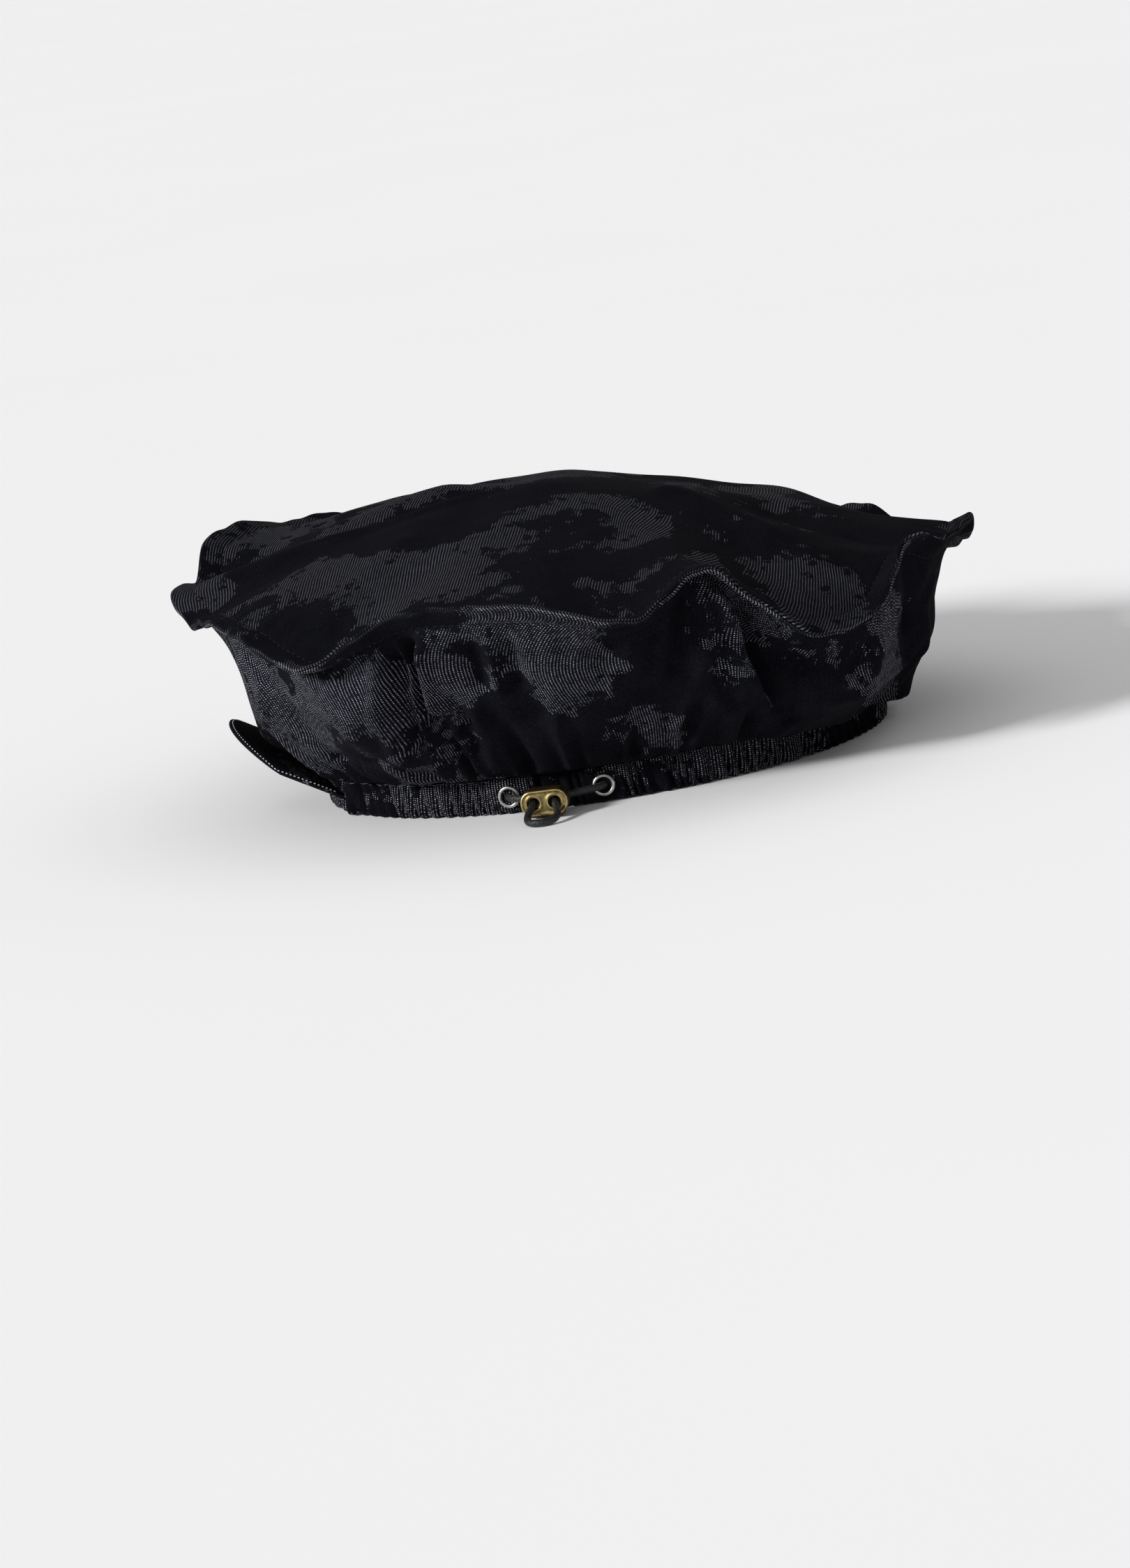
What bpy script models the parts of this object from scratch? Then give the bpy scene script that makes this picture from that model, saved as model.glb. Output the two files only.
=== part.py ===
"""Soft painter hat with a wavy flange, a ruched drawcord band and a small turned-up peak.

Metres, +Z up, +X towards the wearer's face side, -Y the side with the cord lock.
The hat rests on the lower edge of its band, on the plane z = 0.
Shapes are worked out in the frame of the band's centre; one empty then shifts
the whole hat so that the middle of its outline stands over the origin.
"""

import math

import bmesh
import bpy
import numpy as np
from mathutils import Vector

# Cloth and the clearance between two pieces that touch
CLOTH = 0.0011
GAP = 0.0003

# Ruched band, an upright ring of doubled cloth on an oval
BAND_HALF_LENGTH = 0.1010
BAND_HALF_WIDTH = 0.0810
BAND_WALL = 0.0035
BAND_HEIGHT = 0.0126
BAND_PLEATS = 48
BAND_PLEAT_DEPTH = 0.0008
BAND_COLUMNS = 192
BAND_FOOT_INSET = 0.0006
BAND_HEAD_INSET = 0.0004
BAND_BULGE_SHARE = 0.45
BULGE_PLEAT_SHARE = 0.8
SMOOTH_BY_EYELET = 3.0
PLEATS_START_OVER = 4.0

# Crown: top panel and side panel, sewn edge to edge outwards as a flange
CROWN_COLUMNS = 96
CROWN_HEIGHT = 0.1004
FLANGE_WIDTH = 0.0090
FLANGE_ROWS = 2
TOP_RINGS = (0.20, 0.40, 0.58, 0.74, 0.88, 1.0)
DOME_SLOPE = 0.36
DOME_ROUND = 0.058
DOME_TILT = -0.09
WAVE_REACH = 4.0
CREASE_REACH = 6
SIDE_ROWS = 10
SEAM_INSET = 0.0022
LIP_OUT = 0.0016
LIP_RISE = 0.0005
FOLDS_START = 0.16
FOLDS_START_OVER = 0.20
FOLDS_END_OVER = 0.12
FOLD_BLEND = 0.15
GATHERS = 24
GATHER_DEPTH = 0.0008
GATHER_SHARE = 0.40
GATHER_SPREAD = 0.15

# Outer edge of the flange, seen from above, anticlockwise from the front
# azimuth, radius, height, tilt (degrees, positive turns the edge up)
EDGE = (
    (0, 0.1410, 0.0617, 10),
    (12, 0.1380, 0.0583, 8),
    (22, 0.1345, 0.0590, 14),
    (33, 0.1318, 0.0602, 16),
    (45, 0.1300, 0.0545, -4),
    (56, 0.1290, 0.0600, 16),
    (66, 0.1300, 0.0672, 28),
    (77, 0.1325, 0.0645, 4),
    (87, 0.1322, 0.0722, 22),
    (97, 0.1340, 0.0700, 10),
    (106, 0.1345, 0.0662, -6),
    (117, 0.1345, 0.0745, 20),
    (130, 0.1355, 0.0850, 24),
    (143, 0.1338, 0.0895, 22),
    (151, 0.1352, 0.0945, 26),
    (156, 0.1365, 0.0948, 28),
    (163, 0.1390, 0.0928, 26),
    (170, 0.1390, 0.0815, 18),
    (175, 0.1425, 0.0825, 8),
    (179, 0.1447, 0.0822, 0),
    (183, 0.1440, 0.0792, -12),
    (187, 0.1412, 0.0755, -22),
    (192, 0.1402, 0.0740, -12),
    (198, 0.1405, 0.0780, 0),
    (206, 0.1405, 0.0778, 5),
    (212, 0.1400, 0.0747, 4),
    (220, 0.1417, 0.0684, 0),
    (227, 0.1422, 0.0657, 4),
    (234, 0.1375, 0.0744, 22),
    (241, 0.1340, 0.0815, 38),
    (252, 0.1340, 0.0823, 45),
    (262, 0.1360, 0.0800, 42),
    (269, 0.1378, 0.0742, 26),
    (274, 0.1380, 0.0707, 12),
    (279, 0.1355, 0.0727, 8),
    (285, 0.1300, 0.0805, 10),
    (289, 0.1295, 0.0803, 2),
    (294, 0.1344, 0.0690, -15),
    (300, 0.1393, 0.0547, -28),
    (308, 0.1397, 0.0514, -20),
    (315, 0.1381, 0.0538, 0),
    (321, 0.1347, 0.0600, 20),
    (327, 0.1323, 0.0688, 38),
    (334, 0.1344, 0.0731, 40),
    (342, 0.1383, 0.0714, 42),
    (350, 0.1403, 0.0702, 38),
    (356, 0.1412, 0.0657, 24),
)

# Side panel between the band and the flange, in upright sections
# azimuth, roll out from the band, roll height, low radius, low height,
# middle radius, middle height, high radius, high height
SECTIONS = (
    (0, 0.0045, 0.0052, 0.1125, 0.0135, 0.1215, 0.0320, 0.1198, 0.0490),
    (20, 0.0050, 0.0085, 0.1098, 0.0140, 0.1190, 0.0285, 0.1205, 0.0430),
    (45, 0.0065, 0.0145, 0.1040, 0.0200, 0.1157, 0.0310, 0.1200, 0.0430),
    (90, 0.0052, 0.0180, 0.0970, 0.0267, 0.1095, 0.0407, 0.1180, 0.0537),
    (135, 0.0055, 0.0185, 0.1018, 0.0290, 0.1120, 0.0460, 0.1200, 0.0640),
    (160, 0.0060, 0.0185, 0.1105, 0.0290, 0.1190, 0.0445, 0.1262, 0.0635),
    (180, 0.0060, 0.0188, 0.1148, 0.0283, 0.1205, 0.0400, 0.1262, 0.0575),
    (204, 0.0062, 0.0182, 0.1125, 0.0268, 0.1210, 0.0400, 0.1285, 0.0570),
    (224, 0.0070, 0.0165, 0.1065, 0.0245, 0.1195, 0.0383, 0.1293, 0.0525),
    (242, 0.0055, 0.0175, 0.0970, 0.0275, 0.1087, 0.0427, 0.1182, 0.0595),
    (268, 0.0050, 0.0180, 0.0955, 0.0278, 0.1085, 0.0427, 0.1190, 0.0567),
    (290, 0.0055, 0.0170, 0.0960, 0.0260, 0.1092, 0.0417, 0.1183, 0.0605),
    (310, 0.0080, 0.0125, 0.1057, 0.0165, 0.1187, 0.0257, 0.1258, 0.0370),
    (332, 0.0062, 0.0130, 0.1090, 0.0165, 0.1185, 0.0270, 0.1218, 0.0415),
    (348, 0.0050, 0.0085, 0.1115, 0.0140, 0.1205, 0.0295, 0.1205, 0.0450),
)

# Folds of the side panel: each leans from one azimuth at the band to another at the flange
# azimuth low, azimuth high, half-width low, half-width high, depth, start and end of its length
FOLDS = (
    (201, 204, 5.0, 5.0, 0.0015, 0.15, 0.95),
    (213, 216, 7.0, 6.0, -0.0025, 0.20, 0.90),
    (224, 226, 8.0, 7.0, 0.0035, 0.20, 0.85),
    (229, 236, 4.0, 4.5, 0.0035, 0.25, 1.00),
    (235, 240, 4.0, 4.0, -0.0060, 0.30, 1.00),
    (239, 245, 4.5, 4.5, 0.0035, 0.25, 0.95),
    (252, 254, 7.0, 6.0, -0.0018, 0.20, 0.90),
    (264, 264, 8.0, 8.0, 0.0016, 0.10, 0.90),
    (278, 277, 7.0, 5.0, -0.0025, 0.20, 0.90),
    (302, 288, 6.0, 4.5, 0.0050, 0.20, 1.00),
    (305, 296, 5.0, 4.5, -0.0070, 0.30, 0.95),
    (318, 314, 9.0, 9.0, 0.0030, 0.20, 0.80),
    (336, 331, 6.0, 5.0, -0.0030, 0.30, 0.95),
    (348, 347, 7.0, 6.0, 0.0015, 0.20, 0.80),
    (18, 16, 7.0, 6.0, -0.0022, 0.25, 0.90),
    (32, 30, 8.0, 7.0, 0.0030, 0.20, 0.85),
    (52, 49, 7.0, 6.0, -0.0040, 0.20, 0.95),
    (66, 64, 7.0, 6.0, 0.0030, 0.20, 0.95),
    (84, 86, 8.0, 7.0, -0.0030, 0.20, 0.90),
    (103, 100, 7.0, 6.0, 0.0030, 0.20, 0.95),
    (120, 122, 7.0, 7.0, -0.0035, 0.25, 0.95),
    (138, 140, 8.0, 7.0, 0.0025, 0.20, 0.85),
    (156, 158, 7.0, 6.0, -0.0020, 0.30, 0.95),
)

# Soft ridges and hollows of the top panel, each along a straight line
# start x, start y, end x, end y, half-width, height
CREASES = (
    (-0.142, -0.004, -0.045, 0.014, 0.012, 0.0038),
    (-0.130, 0.036, -0.060, 0.046, 0.015, -0.0045),
    (0.040, -0.028, 0.086, -0.078, 0.012, 0.0030),
    (0.070, -0.020, 0.108, -0.060, 0.014, -0.0042),
    (0.050, 0.036, 0.112, 0.046, 0.016, 0.0025),
    (0.030, 0.076, 0.046, 0.112, 0.016, -0.0028),
    (-0.060, -0.066, -0.088, -0.094, 0.017, -0.0022),
    (-0.034, 0.080, -0.046, 0.112, 0.015, 0.0024),
)

# Small stiff peak, turned up at the rear
PEAK_HALF_WIDTH = 0.0320
PEAK_LENGTH = 0.0310
PEAK_RISE = 0.0232
PEAK_THICK = 0.0026
PEAK_ROOT_HEIGHT = 0.0100
PEAK_ROOT_GAP = 0.0010
PEAK_ARCH = 0.0015
PEAK_CURL = 1.08
PEAK_TAPER = 0.10
PEAK_CORNER_CUT = 0.86
PEAK_ROWS = 7
PEAK_COLUMNS = 17

# Metal eyelets in the band's near side
EYELETS = (("eyelet_rear", 244.0), ("eyelet_front", 267.0))
EYELET_HEIGHT = 0.0063
EYELET_OUTER = 0.0040
EYELET_INNER = 0.00255
EYELET_BARREL = 0.00285
EYELET_RIM = 0.0010
EYELET_ROUND = 0.0004
EYELET_DEPTH = 0.0018
EYELET_SIDES = 16
BORE_DEPTH = 0.0022

# Cord lock in front of the band, with a plunger pressed up into it from below
CLASP_AZIMUTH = 254.0
LOCK_LENGTH = 0.0164
LOCK_HEIGHT = 0.0088
LOCK_DEPTH = 0.0060
LOCK_OUT = 0.0082
LOCK_UP = 0.0060
LOCK_CORNER = 0.0040
LOCK_BEVEL = 0.0008
CORD_SPACING = 0.0073
CORD_BORE = 0.0032
RIM_BORE = 0.0046
RIM_BORE_DEPTH = 0.0010
PLUNGER_WIDTH = 0.0122
PLUNGER_THICK = 0.0026
PLUNGER_CORNER = 0.0008
PLUNGER_TOP = 0.0024
PLUNGER_BOTTOM = 0.0056
PLUNGER_TRAVEL = 0.0011
PLUNGER_SHIFT = 0.0006
# A round bore keeps this hair of a straight side, so that no edge has zero length
BORE_STRAIGHT = 0.00001

# Elastic drawcord from the rear eyelet, through the lock, round a loop and back
CORD_DIAMETER = 0.0025
CORD_STEP = 0.0024
READINGS_PER_POINT = 8
# along the band, out from the band, up
ROUTE = (
    (-0.0152, -0.0020, 0.0063),
    (-0.0149, -0.0006, 0.0063),
    (-0.0142, 0.0009, 0.0063),
    (-0.0129, 0.0022, 0.0062),
    (-0.0111, 0.0033, 0.0061),
    (-0.0091, 0.0042, 0.0060),
    (-0.0071, 0.0052, 0.0060),
    (-0.0054, 0.0064, 0.0060),
    (-0.0042, 0.0079, 0.0060),
    (-0.0037, 0.0097, 0.0060),
    (-0.00365, 0.0118, 0.0060),
    (-0.0038, 0.0137, 0.0058),
    (-0.0043, 0.0155, 0.0050),
    (-0.0050, 0.0172, 0.0038),
    (-0.0055, 0.0190, 0.0026),
    (-0.0054, 0.0210, 0.0018),
    (-0.0045, 0.0229, 0.0014),
    (-0.0027, 0.0242, 0.0013),
    (-0.0005, 0.0246, 0.0013),
    (0.0017, 0.0240, 0.0013),
    (0.0036, 0.0226, 0.0015),
    (0.0046, 0.0207, 0.0020),
    (0.0048, 0.0188, 0.0029),
    (0.0044, 0.0170, 0.0041),
    (0.0040, 0.0153, 0.0053),
    (0.0037, 0.0136, 0.0059),
    (0.00365, 0.0118, 0.0060),
    (0.0037, 0.0098, 0.0060),
    (0.0043, 0.0080, 0.0060),
    (0.0056, 0.0065, 0.0060),
    (0.0073, 0.0054, 0.0060),
    (0.0094, 0.0046, 0.0060),
    (0.0116, 0.0039, 0.0061),
    (0.0136, 0.0031, 0.0062),
    (0.0154, 0.0022, 0.0062),
    (0.0169, 0.0011, 0.0063),
    (0.01795, -0.0002, 0.0063),
    (0.0186, -0.0015, 0.0063),
    (0.0189, -0.0027, 0.0063),
)

# Finishes: colour, roughness, metallic
FLOCKED_TWILL = ((0.035, 0.036, 0.042), 0.9, 0.0)
NICKEL = ((0.62, 0.60, 0.57), 0.3, 1.0)
OLD_BRASS = ((0.42, 0.33, 0.14), 0.38, 1.0)
BLACK_ELASTIC = ((0.02, 0.022, 0.026), 0.75, 0.0)

# Edges sharper than this many degrees stay crisp
SHARP_ANGLE = 40


def around(table, column, azimuth):
    """A smooth closed curve through one column of a table, read at each azimuth in degrees."""
    rows = np.array(table, dtype=float)
    turns = np.concatenate((rows[-2:, 0] - 360, rows[:, 0], rows[:2, 0] + 360))
    values = np.concatenate((rows[-2:, column], rows[:, column], rows[:2, column]))
    slopes = (values[2:] - values[:-2]) / (turns[2:] - turns[:-2])
    turns = turns[1:-1]
    values = values[1:-1]
    angle = np.mod(azimuth, 360)
    left = np.clip(np.searchsorted(turns, angle, side="right") - 1, 0, len(turns) - 2)
    span = turns[left + 1] - turns[left]
    part = (angle - turns[left]) / span
    rise = part ** 2 * (3 - 2 * part)
    leave = part * (1 - part) ** 2 * span
    arrive = part ** 2 * (part - 1) * span
    start = values[left] * (1 - rise) + slopes[left] * leave
    return start + values[left + 1] * rise + slopes[left + 1] * arrive


def through(stations, steps):
    """Catmull-Rom curve through stations[k], read at steps counted in stations."""
    first = 2 * stations[0] - stations[1]
    last = 2 * stations[-1] - stations[-2]
    points = np.concatenate((first[None], stations, last[None]))
    steps = np.asarray(steps, dtype=float)
    left = np.clip(np.floor(steps).astype(int), 0, len(stations) - 2)
    part = (steps - left).reshape((-1,) + (1,) * (stations.ndim - 1))
    before, start, end, after = (points[left + shift] for shift in range(4))
    straight = end - before
    bend = 2 * before - 5 * start + 4 * end - after
    twist = 3 * (start - end) + after - before
    return start + 0.5 * part * (straight + part * (bend + part * twist))


def band_radius(azimuth):
    """Distance from the axis to the band's oval, at each azimuth in degrees."""
    angle = np.radians(azimuth)
    across = np.hypot(BAND_HALF_WIDTH * np.cos(angle), BAND_HALF_LENGTH * np.sin(angle))
    return BAND_HALF_LENGTH * BAND_HALF_WIDTH / across


def upright(radius, height, azimuth):
    """Points at a radius and a height on each azimuth in degrees."""
    angle = np.radians(azimuth)
    return np.stack((radius * np.cos(angle), radius * np.sin(angle), height + 0 * angle), axis=-1)


def flange(azimuth, share):
    """Middle of the flange: share 0 is the stitch line and 1 is the outer edge."""
    tilt = np.radians(around(EDGE, 3, azimuth))
    inward = FLANGE_WIDTH * (1 - share)
    radius = around(EDGE, 1, azimuth) - inward * np.cos(tilt)
    height = around(EDGE, 2, azimuth) - inward * np.sin(tilt)
    return upright(radius, height, azimuth)


def crease_height(x, y):
    """Height that the soft creases add to the top panel at a point."""
    total = 0 * x
    for x0, y0, x1, y1, width, height in CREASES:
        length = math.hypot(x1 - x0, y1 - y0)
        along = ((x - x0) * (x1 - x0) + (y - y0) * (y1 - y0)) / length
        aside = ((y - y0) * (x1 - x0) - (x - x0) * (y1 - y0)) / length
        beyond = np.maximum(np.maximum(-along, along - length), 0)
        total = total + height * np.exp(-(aside ** 2 + beyond ** 2) / width ** 2)
    return total


def dome_height(x, y):
    """A cone with a rounded tip that leans forward, the top panel without its waves."""
    slope = np.sqrt(x ** 2 + y ** 2 + DOME_ROUND ** 2) - DOME_ROUND
    return CROWN_HEIGHT - DOME_SLOPE * slope + DOME_TILT * x


def top_panel(azimuth, ring):
    """Top panel: ring 0 is its middle and 1 is the stitch line, whose waves fade inwards."""
    stitch = flange(azimuth, 0)
    wave = stitch[..., 2] - dome_height(stitch[..., 0], stitch[..., 1])
    x = stitch[..., 0] * ring
    y = stitch[..., 1] * ring
    creases = crease_height(x, y) * (1 - ring ** CREASE_REACH)
    return np.stack((x, y, dome_height(x, y) + wave * ring ** WAVE_REACH + creases), axis=-1)


def fold_depth(azimuth, height_share):
    """How far the folds push the side panel out, from 0 at the band to 1 at the flange."""
    total = 0 * azimuth
    for low, high, narrow, wide, depth, start, end in FOLDS:
        centre = low + (high - low) * height_share
        width = narrow + (wide - narrow) * height_share
        away = (np.mod(azimuth - centre + 180, 360) - 180) / width
        rise = np.clip((height_share - start + FOLD_BLEND) / (2 * FOLD_BLEND), 0, 1)
        fall = np.clip((end + FOLD_BLEND - height_share) / (2 * FOLD_BLEND), 0, 1)
        total = total + depth * np.exp(-away ** 2) * rise * fall
    return total


def side_panel(azimuth, rows):
    """Side panel from the seam on the band up to the flange's stitch line."""
    band = band_radius(azimuth)
    seam_height = BAND_HEIGHT + GAP + CLOTH + GAP / 2
    stations = np.stack((
        upright(band - SEAM_INSET, seam_height, azimuth),
        upright(band + LIP_OUT, seam_height + LIP_RISE, azimuth),
        upright(band + around(SECTIONS, 1, azimuth), around(SECTIONS, 2, azimuth), azimuth),
        upright(around(SECTIONS, 3, azimuth), around(SECTIONS, 4, azimuth), azimuth),
        upright(around(SECTIONS, 5, azimuth), around(SECTIONS, 6, azimuth), azimuth),
        upright(around(SECTIONS, 7, azimuth), around(SECTIONS, 8, azimuth), azimuth),
        flange(azimuth, 0),
    ))
    grid = through(stations, rows * (len(stations) - 1))
    outward = upright(1.0, 0.0, azimuth)
    gathers = GATHER_DEPTH * np.cos(np.radians(GATHERS * azimuth))
    for share, ring in zip(rows, grid):
        start = min(1.0, max(0.0, (share - FOLDS_START) / FOLDS_START_OVER))
        end = min(1.0, (1 - share) / FOLDS_END_OVER)
        near_roll = math.exp(-((share - GATHER_SHARE) / GATHER_SPREAD) ** 2)
        push = (fold_depth(azimuth, share) + gathers * near_roll) * start * end
        ring += push[:, None] * outward
    return grid


def grid_normals(grid):
    """Unit normals of a grid of points, closed along its second index."""
    down = np.gradient(grid, axis=0)
    across = np.roll(grid, -1, axis=1) - np.roll(grid, 1, axis=1)
    normal = np.cross(across, down)
    return normal / np.linalg.norm(normal, axis=-1, keepdims=True)


def strip_faces(first, second, closed):
    """Quads between two rows of vertex numbers."""
    count = len(first) if closed else len(first) - 1
    return [
        (first[k], first[(k + 1) % len(first)], second[(k + 1) % len(second)], second[k])
        for k in range(count)
    ]


def add_object(name, points, faces, colour, roughness, metallic, parent):
    """One closed mesh object with outward faces and its own material."""
    mesh = bpy.data.meshes.new(name)
    mesh.from_pydata([tuple(point) for point in points], [], faces)
    shell = bmesh.new()
    shell.from_mesh(mesh)
    bmesh.ops.recalc_face_normals(shell, faces=shell.faces)
    shell.to_mesh(mesh)
    shell.free()
    mesh.shade_smooth()
    mesh.set_sharp_from_angle(angle=math.radians(SHARP_ANGLE))
    item = bpy.data.objects.new(name, mesh)
    bpy.context.scene.collection.objects.link(item)
    item.parent = parent
    finish_material(item, colour, roughness, metallic)
    return item


def finish_material(item, colour, roughness, metallic):
    """A plain Principled material named after its object."""
    material = bpy.data.materials.new(item.name)
    material.use_nodes = True
    shader = material.node_tree.nodes["Principled BSDF"]
    shader.inputs["Base Color"].default_value = (*colour, 1)
    shader.inputs["Roughness"].default_value = roughness
    shader.inputs["Metallic"].default_value = metallic
    item.data.materials.append(material)


def shell_from(outer, inner, pole):
    """Points and faces of a wall between two grids; with a pole the first row is closed."""
    rows, columns = outer.shape[:2]
    numbers = np.arange(2 * rows * columns).reshape(2, rows, columns)
    points = list(outer.reshape(-1, 3)) + list(inner.reshape(-1, 3))
    faces = []
    for layer in numbers:
        for row in range(rows - 1):
            faces += strip_faces(layer[row].tolist(), layer[row + 1].tolist(), True)
    faces += strip_faces(numbers[0, -1].tolist(), numbers[1, -1].tolist(), True)
    if pole is None:
        faces += strip_faces(numbers[0, 0].tolist(), numbers[1, 0].tolist(), True)
        return points, faces
    for layer, middle in zip(numbers, pole):
        points.append(middle)
        ring = layer[0].tolist()
        for k in range(columns):
            faces.append((ring[k], ring[(k + 1) % columns], len(points) - 1))
    return points, faces


def make_crown(hat):
    """Both panels of the crown, each with its own layer of the flange."""
    azimuth = np.arange(CROWN_COLUMNS) * 360 / CROWN_COLUMNS
    brim = [flange(azimuth, (row + 1) / FLANGE_ROWS) for row in range(FLANGE_ROWS)]
    top = np.stack([top_panel(azimuth, ring) for ring in TOP_RINGS] + brim)
    normal = -grid_normals(top)
    middle = Vector((0, 0, CROWN_HEIGHT + float(crease_height(np.zeros(1), np.zeros(1))[0])))
    poles = [tuple(middle + Vector((0, 0, GAP / 2 + lift))) for lift in (CLOTH, 0)]
    points, faces = shell_from(top + normal * (GAP / 2 + CLOTH), top + normal * GAP / 2, poles)
    add_object("crown_top", points, faces, *FLOCKED_TWILL, hat)

    rows = np.linspace(0, 1, SIDE_ROWS)
    side = np.concatenate((side_panel(azimuth, rows), np.stack(brim)))
    normal = grid_normals(side)
    points, faces = shell_from(side + normal * (GAP / 2 + CLOTH), side + normal * GAP / 2, None)
    add_object("crown_side", points, faces, *FLOCKED_TWILL, hat)


def make_ring(loops):
    """Points and faces of a closed ring: a closed profile repeated round a closed path."""
    columns, profile = loops.shape[:2]
    numbers = np.arange(columns * profile).reshape(columns, profile)
    faces = []
    for column in range(columns):
        faces += strip_faces(numbers[column].tolist(), numbers[(column + 1) % columns].tolist(), True)
    return loops.reshape(-1, 3), faces


def make_band(hat):
    """Ruched ring with a flat lower face, smooth where the eyelets sit, and a bore for each."""
    azimuth = np.arange(BAND_COLUMNS) * 360 / BAND_COLUMNS
    band = band_radius(azimuth)
    near_eyelet = np.min([np.abs(azimuth - place) for _, place in EYELETS], axis=0)
    ruching = np.clip((near_eyelet - SMOOTH_BY_EYELET) / PLEATS_START_OVER, 0, 1)
    pleat = BAND_PLEAT_DEPTH * ruching * (0.5 - 0.5 * np.cos(np.radians(BAND_PLEATS * azimuth)))
    inner = band - BAND_WALL
    loops = np.stack((
        upright(inner + pleat / 2, 0.0, azimuth),
        upright(band - BAND_FOOT_INSET - pleat, 0.0, azimuth),
        upright(band - pleat * BULGE_PLEAT_SHARE, BAND_HEIGHT * BAND_BULGE_SHARE, azimuth),
        upright(band - BAND_HEAD_INSET - pleat, BAND_HEIGHT, azimuth),
        upright(inner + pleat / 2, BAND_HEIGHT, azimuth),
    ), axis=1)
    points, faces = make_ring(loops)
    ring = add_object("band", points, faces, *FLOCKED_TWILL, hat)
    for name, place in EYELETS:
        cut_bore(ring, name, eyelet_seat(place), hat)


def eyelet_seat(azimuth):
    """Middle of an eyelet on the band's outer face, and the turn about Z that faces it outwards."""
    point = upright(band_radius(azimuth), EYELET_HEIGHT, azimuth)
    return Vector(point), oval_turn(point)


def oval_turn(point):
    """Turn about Z that takes -Y to the oval's outward direction at a point on it."""
    outward_x = point[0] / BAND_HALF_LENGTH ** 2
    outward_y = point[1] / BAND_HALF_WIDTH ** 2
    return math.atan2(outward_x, -outward_y)


def cut_bore(ring, name, seat, hat):
    """A round blind bore in the band for an eyelet's barrel."""
    place, turn = seat
    shape = bmesh.new()
    bmesh.ops.create_cone(
        shape, cap_ends=True, segments=EYELET_SIDES,
        radius1=EYELET_BARREL + GAP, radius2=EYELET_BARREL + GAP, depth=2 * BORE_DEPTH)
    mesh = bpy.data.meshes.new(name + "_bore")
    shape.to_mesh(mesh)
    shape.free()
    cutter = bpy.data.objects.new(name + "_bore", mesh)
    bpy.context.scene.collection.objects.link(cutter)
    cutter.parent = hat
    cutter.location = place
    cutter.rotation_euler = (math.pi / 2, 0, turn)
    add_cut(ring, cutter)


def add_cut(item, cutter):
    """A Boolean difference with a hidden cutter."""
    cutter.hide_render = True
    cutter.display_type = "WIRE"
    cut = item.modifiers.new(cutter.name, "BOOLEAN")
    cut.operation = "DIFFERENCE"
    cut.solver = "EXACT"
    cut.object = cutter


def make_eyelet(name, azimuth, hat):
    """Turned eyelet: a rounded rim in front of the cloth and a barrel into the bore."""
    profile = (
        (EYELET_INNER, EYELET_DEPTH),
        (EYELET_INNER, EYELET_ROUND - EYELET_RIM),
        (EYELET_INNER + EYELET_ROUND, -EYELET_RIM),
        (EYELET_OUTER - EYELET_ROUND, -EYELET_RIM),
        (EYELET_OUTER, EYELET_ROUND - EYELET_RIM),
        (EYELET_OUTER, 0.0),
        (EYELET_BARREL, 0.0),
        (EYELET_BARREL, EYELET_DEPTH),
    )
    turns = np.arange(EYELET_SIDES) * 2 * math.pi / EYELET_SIDES
    loops = np.array([
        [(radius * math.cos(turn), depth, radius * math.sin(turn)) for radius, depth in profile]
        for turn in turns
    ])
    points, faces = make_ring(loops)
    eyelet = add_object(name, points, faces, *NICKEL, hat)
    place, turn = eyelet_seat(azimuth)
    outward = Vector((math.sin(turn), -math.cos(turn), 0))
    eyelet.location = place + outward * GAP
    eyelet.rotation_euler = (0, 0, turn)


def make_peak(hat):
    """Rounded tongue that follows the band's rear and curves upwards."""
    shares = np.linspace(-1, 1, PEAK_COLUMNS)
    points = []
    for out in np.linspace(0, 1, PEAK_ROWS):
        for share in shares:
            y = PEAK_HALF_WIDTH * share * (1 - PEAK_TAPER * out ** 2)
            root = BAND_HALF_LENGTH * math.sqrt(1 - (y / BAND_HALF_WIDTH) ** 2) + PEAK_ROOT_GAP
            reach = PEAK_LENGTH * math.sqrt(1 - PEAK_CORNER_CUT * abs(share) ** 3)
            rise = PEAK_RISE * out ** PEAK_CURL * reach / PEAK_LENGTH
            points.append((-root - reach * out, y, PEAK_ROOT_HEIGHT + rise - PEAK_ARCH * share ** 2))
    numbers = np.arange(len(points)).reshape(PEAK_ROWS, PEAK_COLUMNS).tolist()
    faces = []
    for row in range(PEAK_ROWS - 1):
        faces += strip_faces(numbers[row], numbers[row + 1], False)
    peak = add_object("peak", points, faces, *FLOCKED_TWILL, hat)
    wall = peak.modifiers.new("board", "SOLIDIFY")
    wall.thickness = PEAK_THICK
    wall.offset = 0


def oval_prism(length, height, depth, corner, sides):
    """Points and faces of a prism along Y, an oblong whose corners are rounded by arcs."""
    half_x = length / 2 - corner
    half_z = height / 2 - corner
    outline = []
    for k in range(4 * sides):
        quarter = k // sides
        turn = (quarter + (k % sides) / (sides - 1)) * math.pi / 2
        side_x = 1 if quarter in (0, 3) else -1
        side_z = 1 if quarter in (0, 1) else -1
        x = side_x * half_x + corner * math.cos(turn)
        z = side_z * half_z + corner * math.sin(turn)
        outline.append((x, z))
    points = [(x, y, z) for y in (-depth / 2, depth / 2) for x, z in outline]
    count = len(outline)
    front = list(range(count))
    back = list(range(count, 2 * count))
    faces = strip_faces(front, back, True)
    faces.append(tuple(front[::-1]))
    faces.append(tuple(back))
    return points, faces


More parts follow.
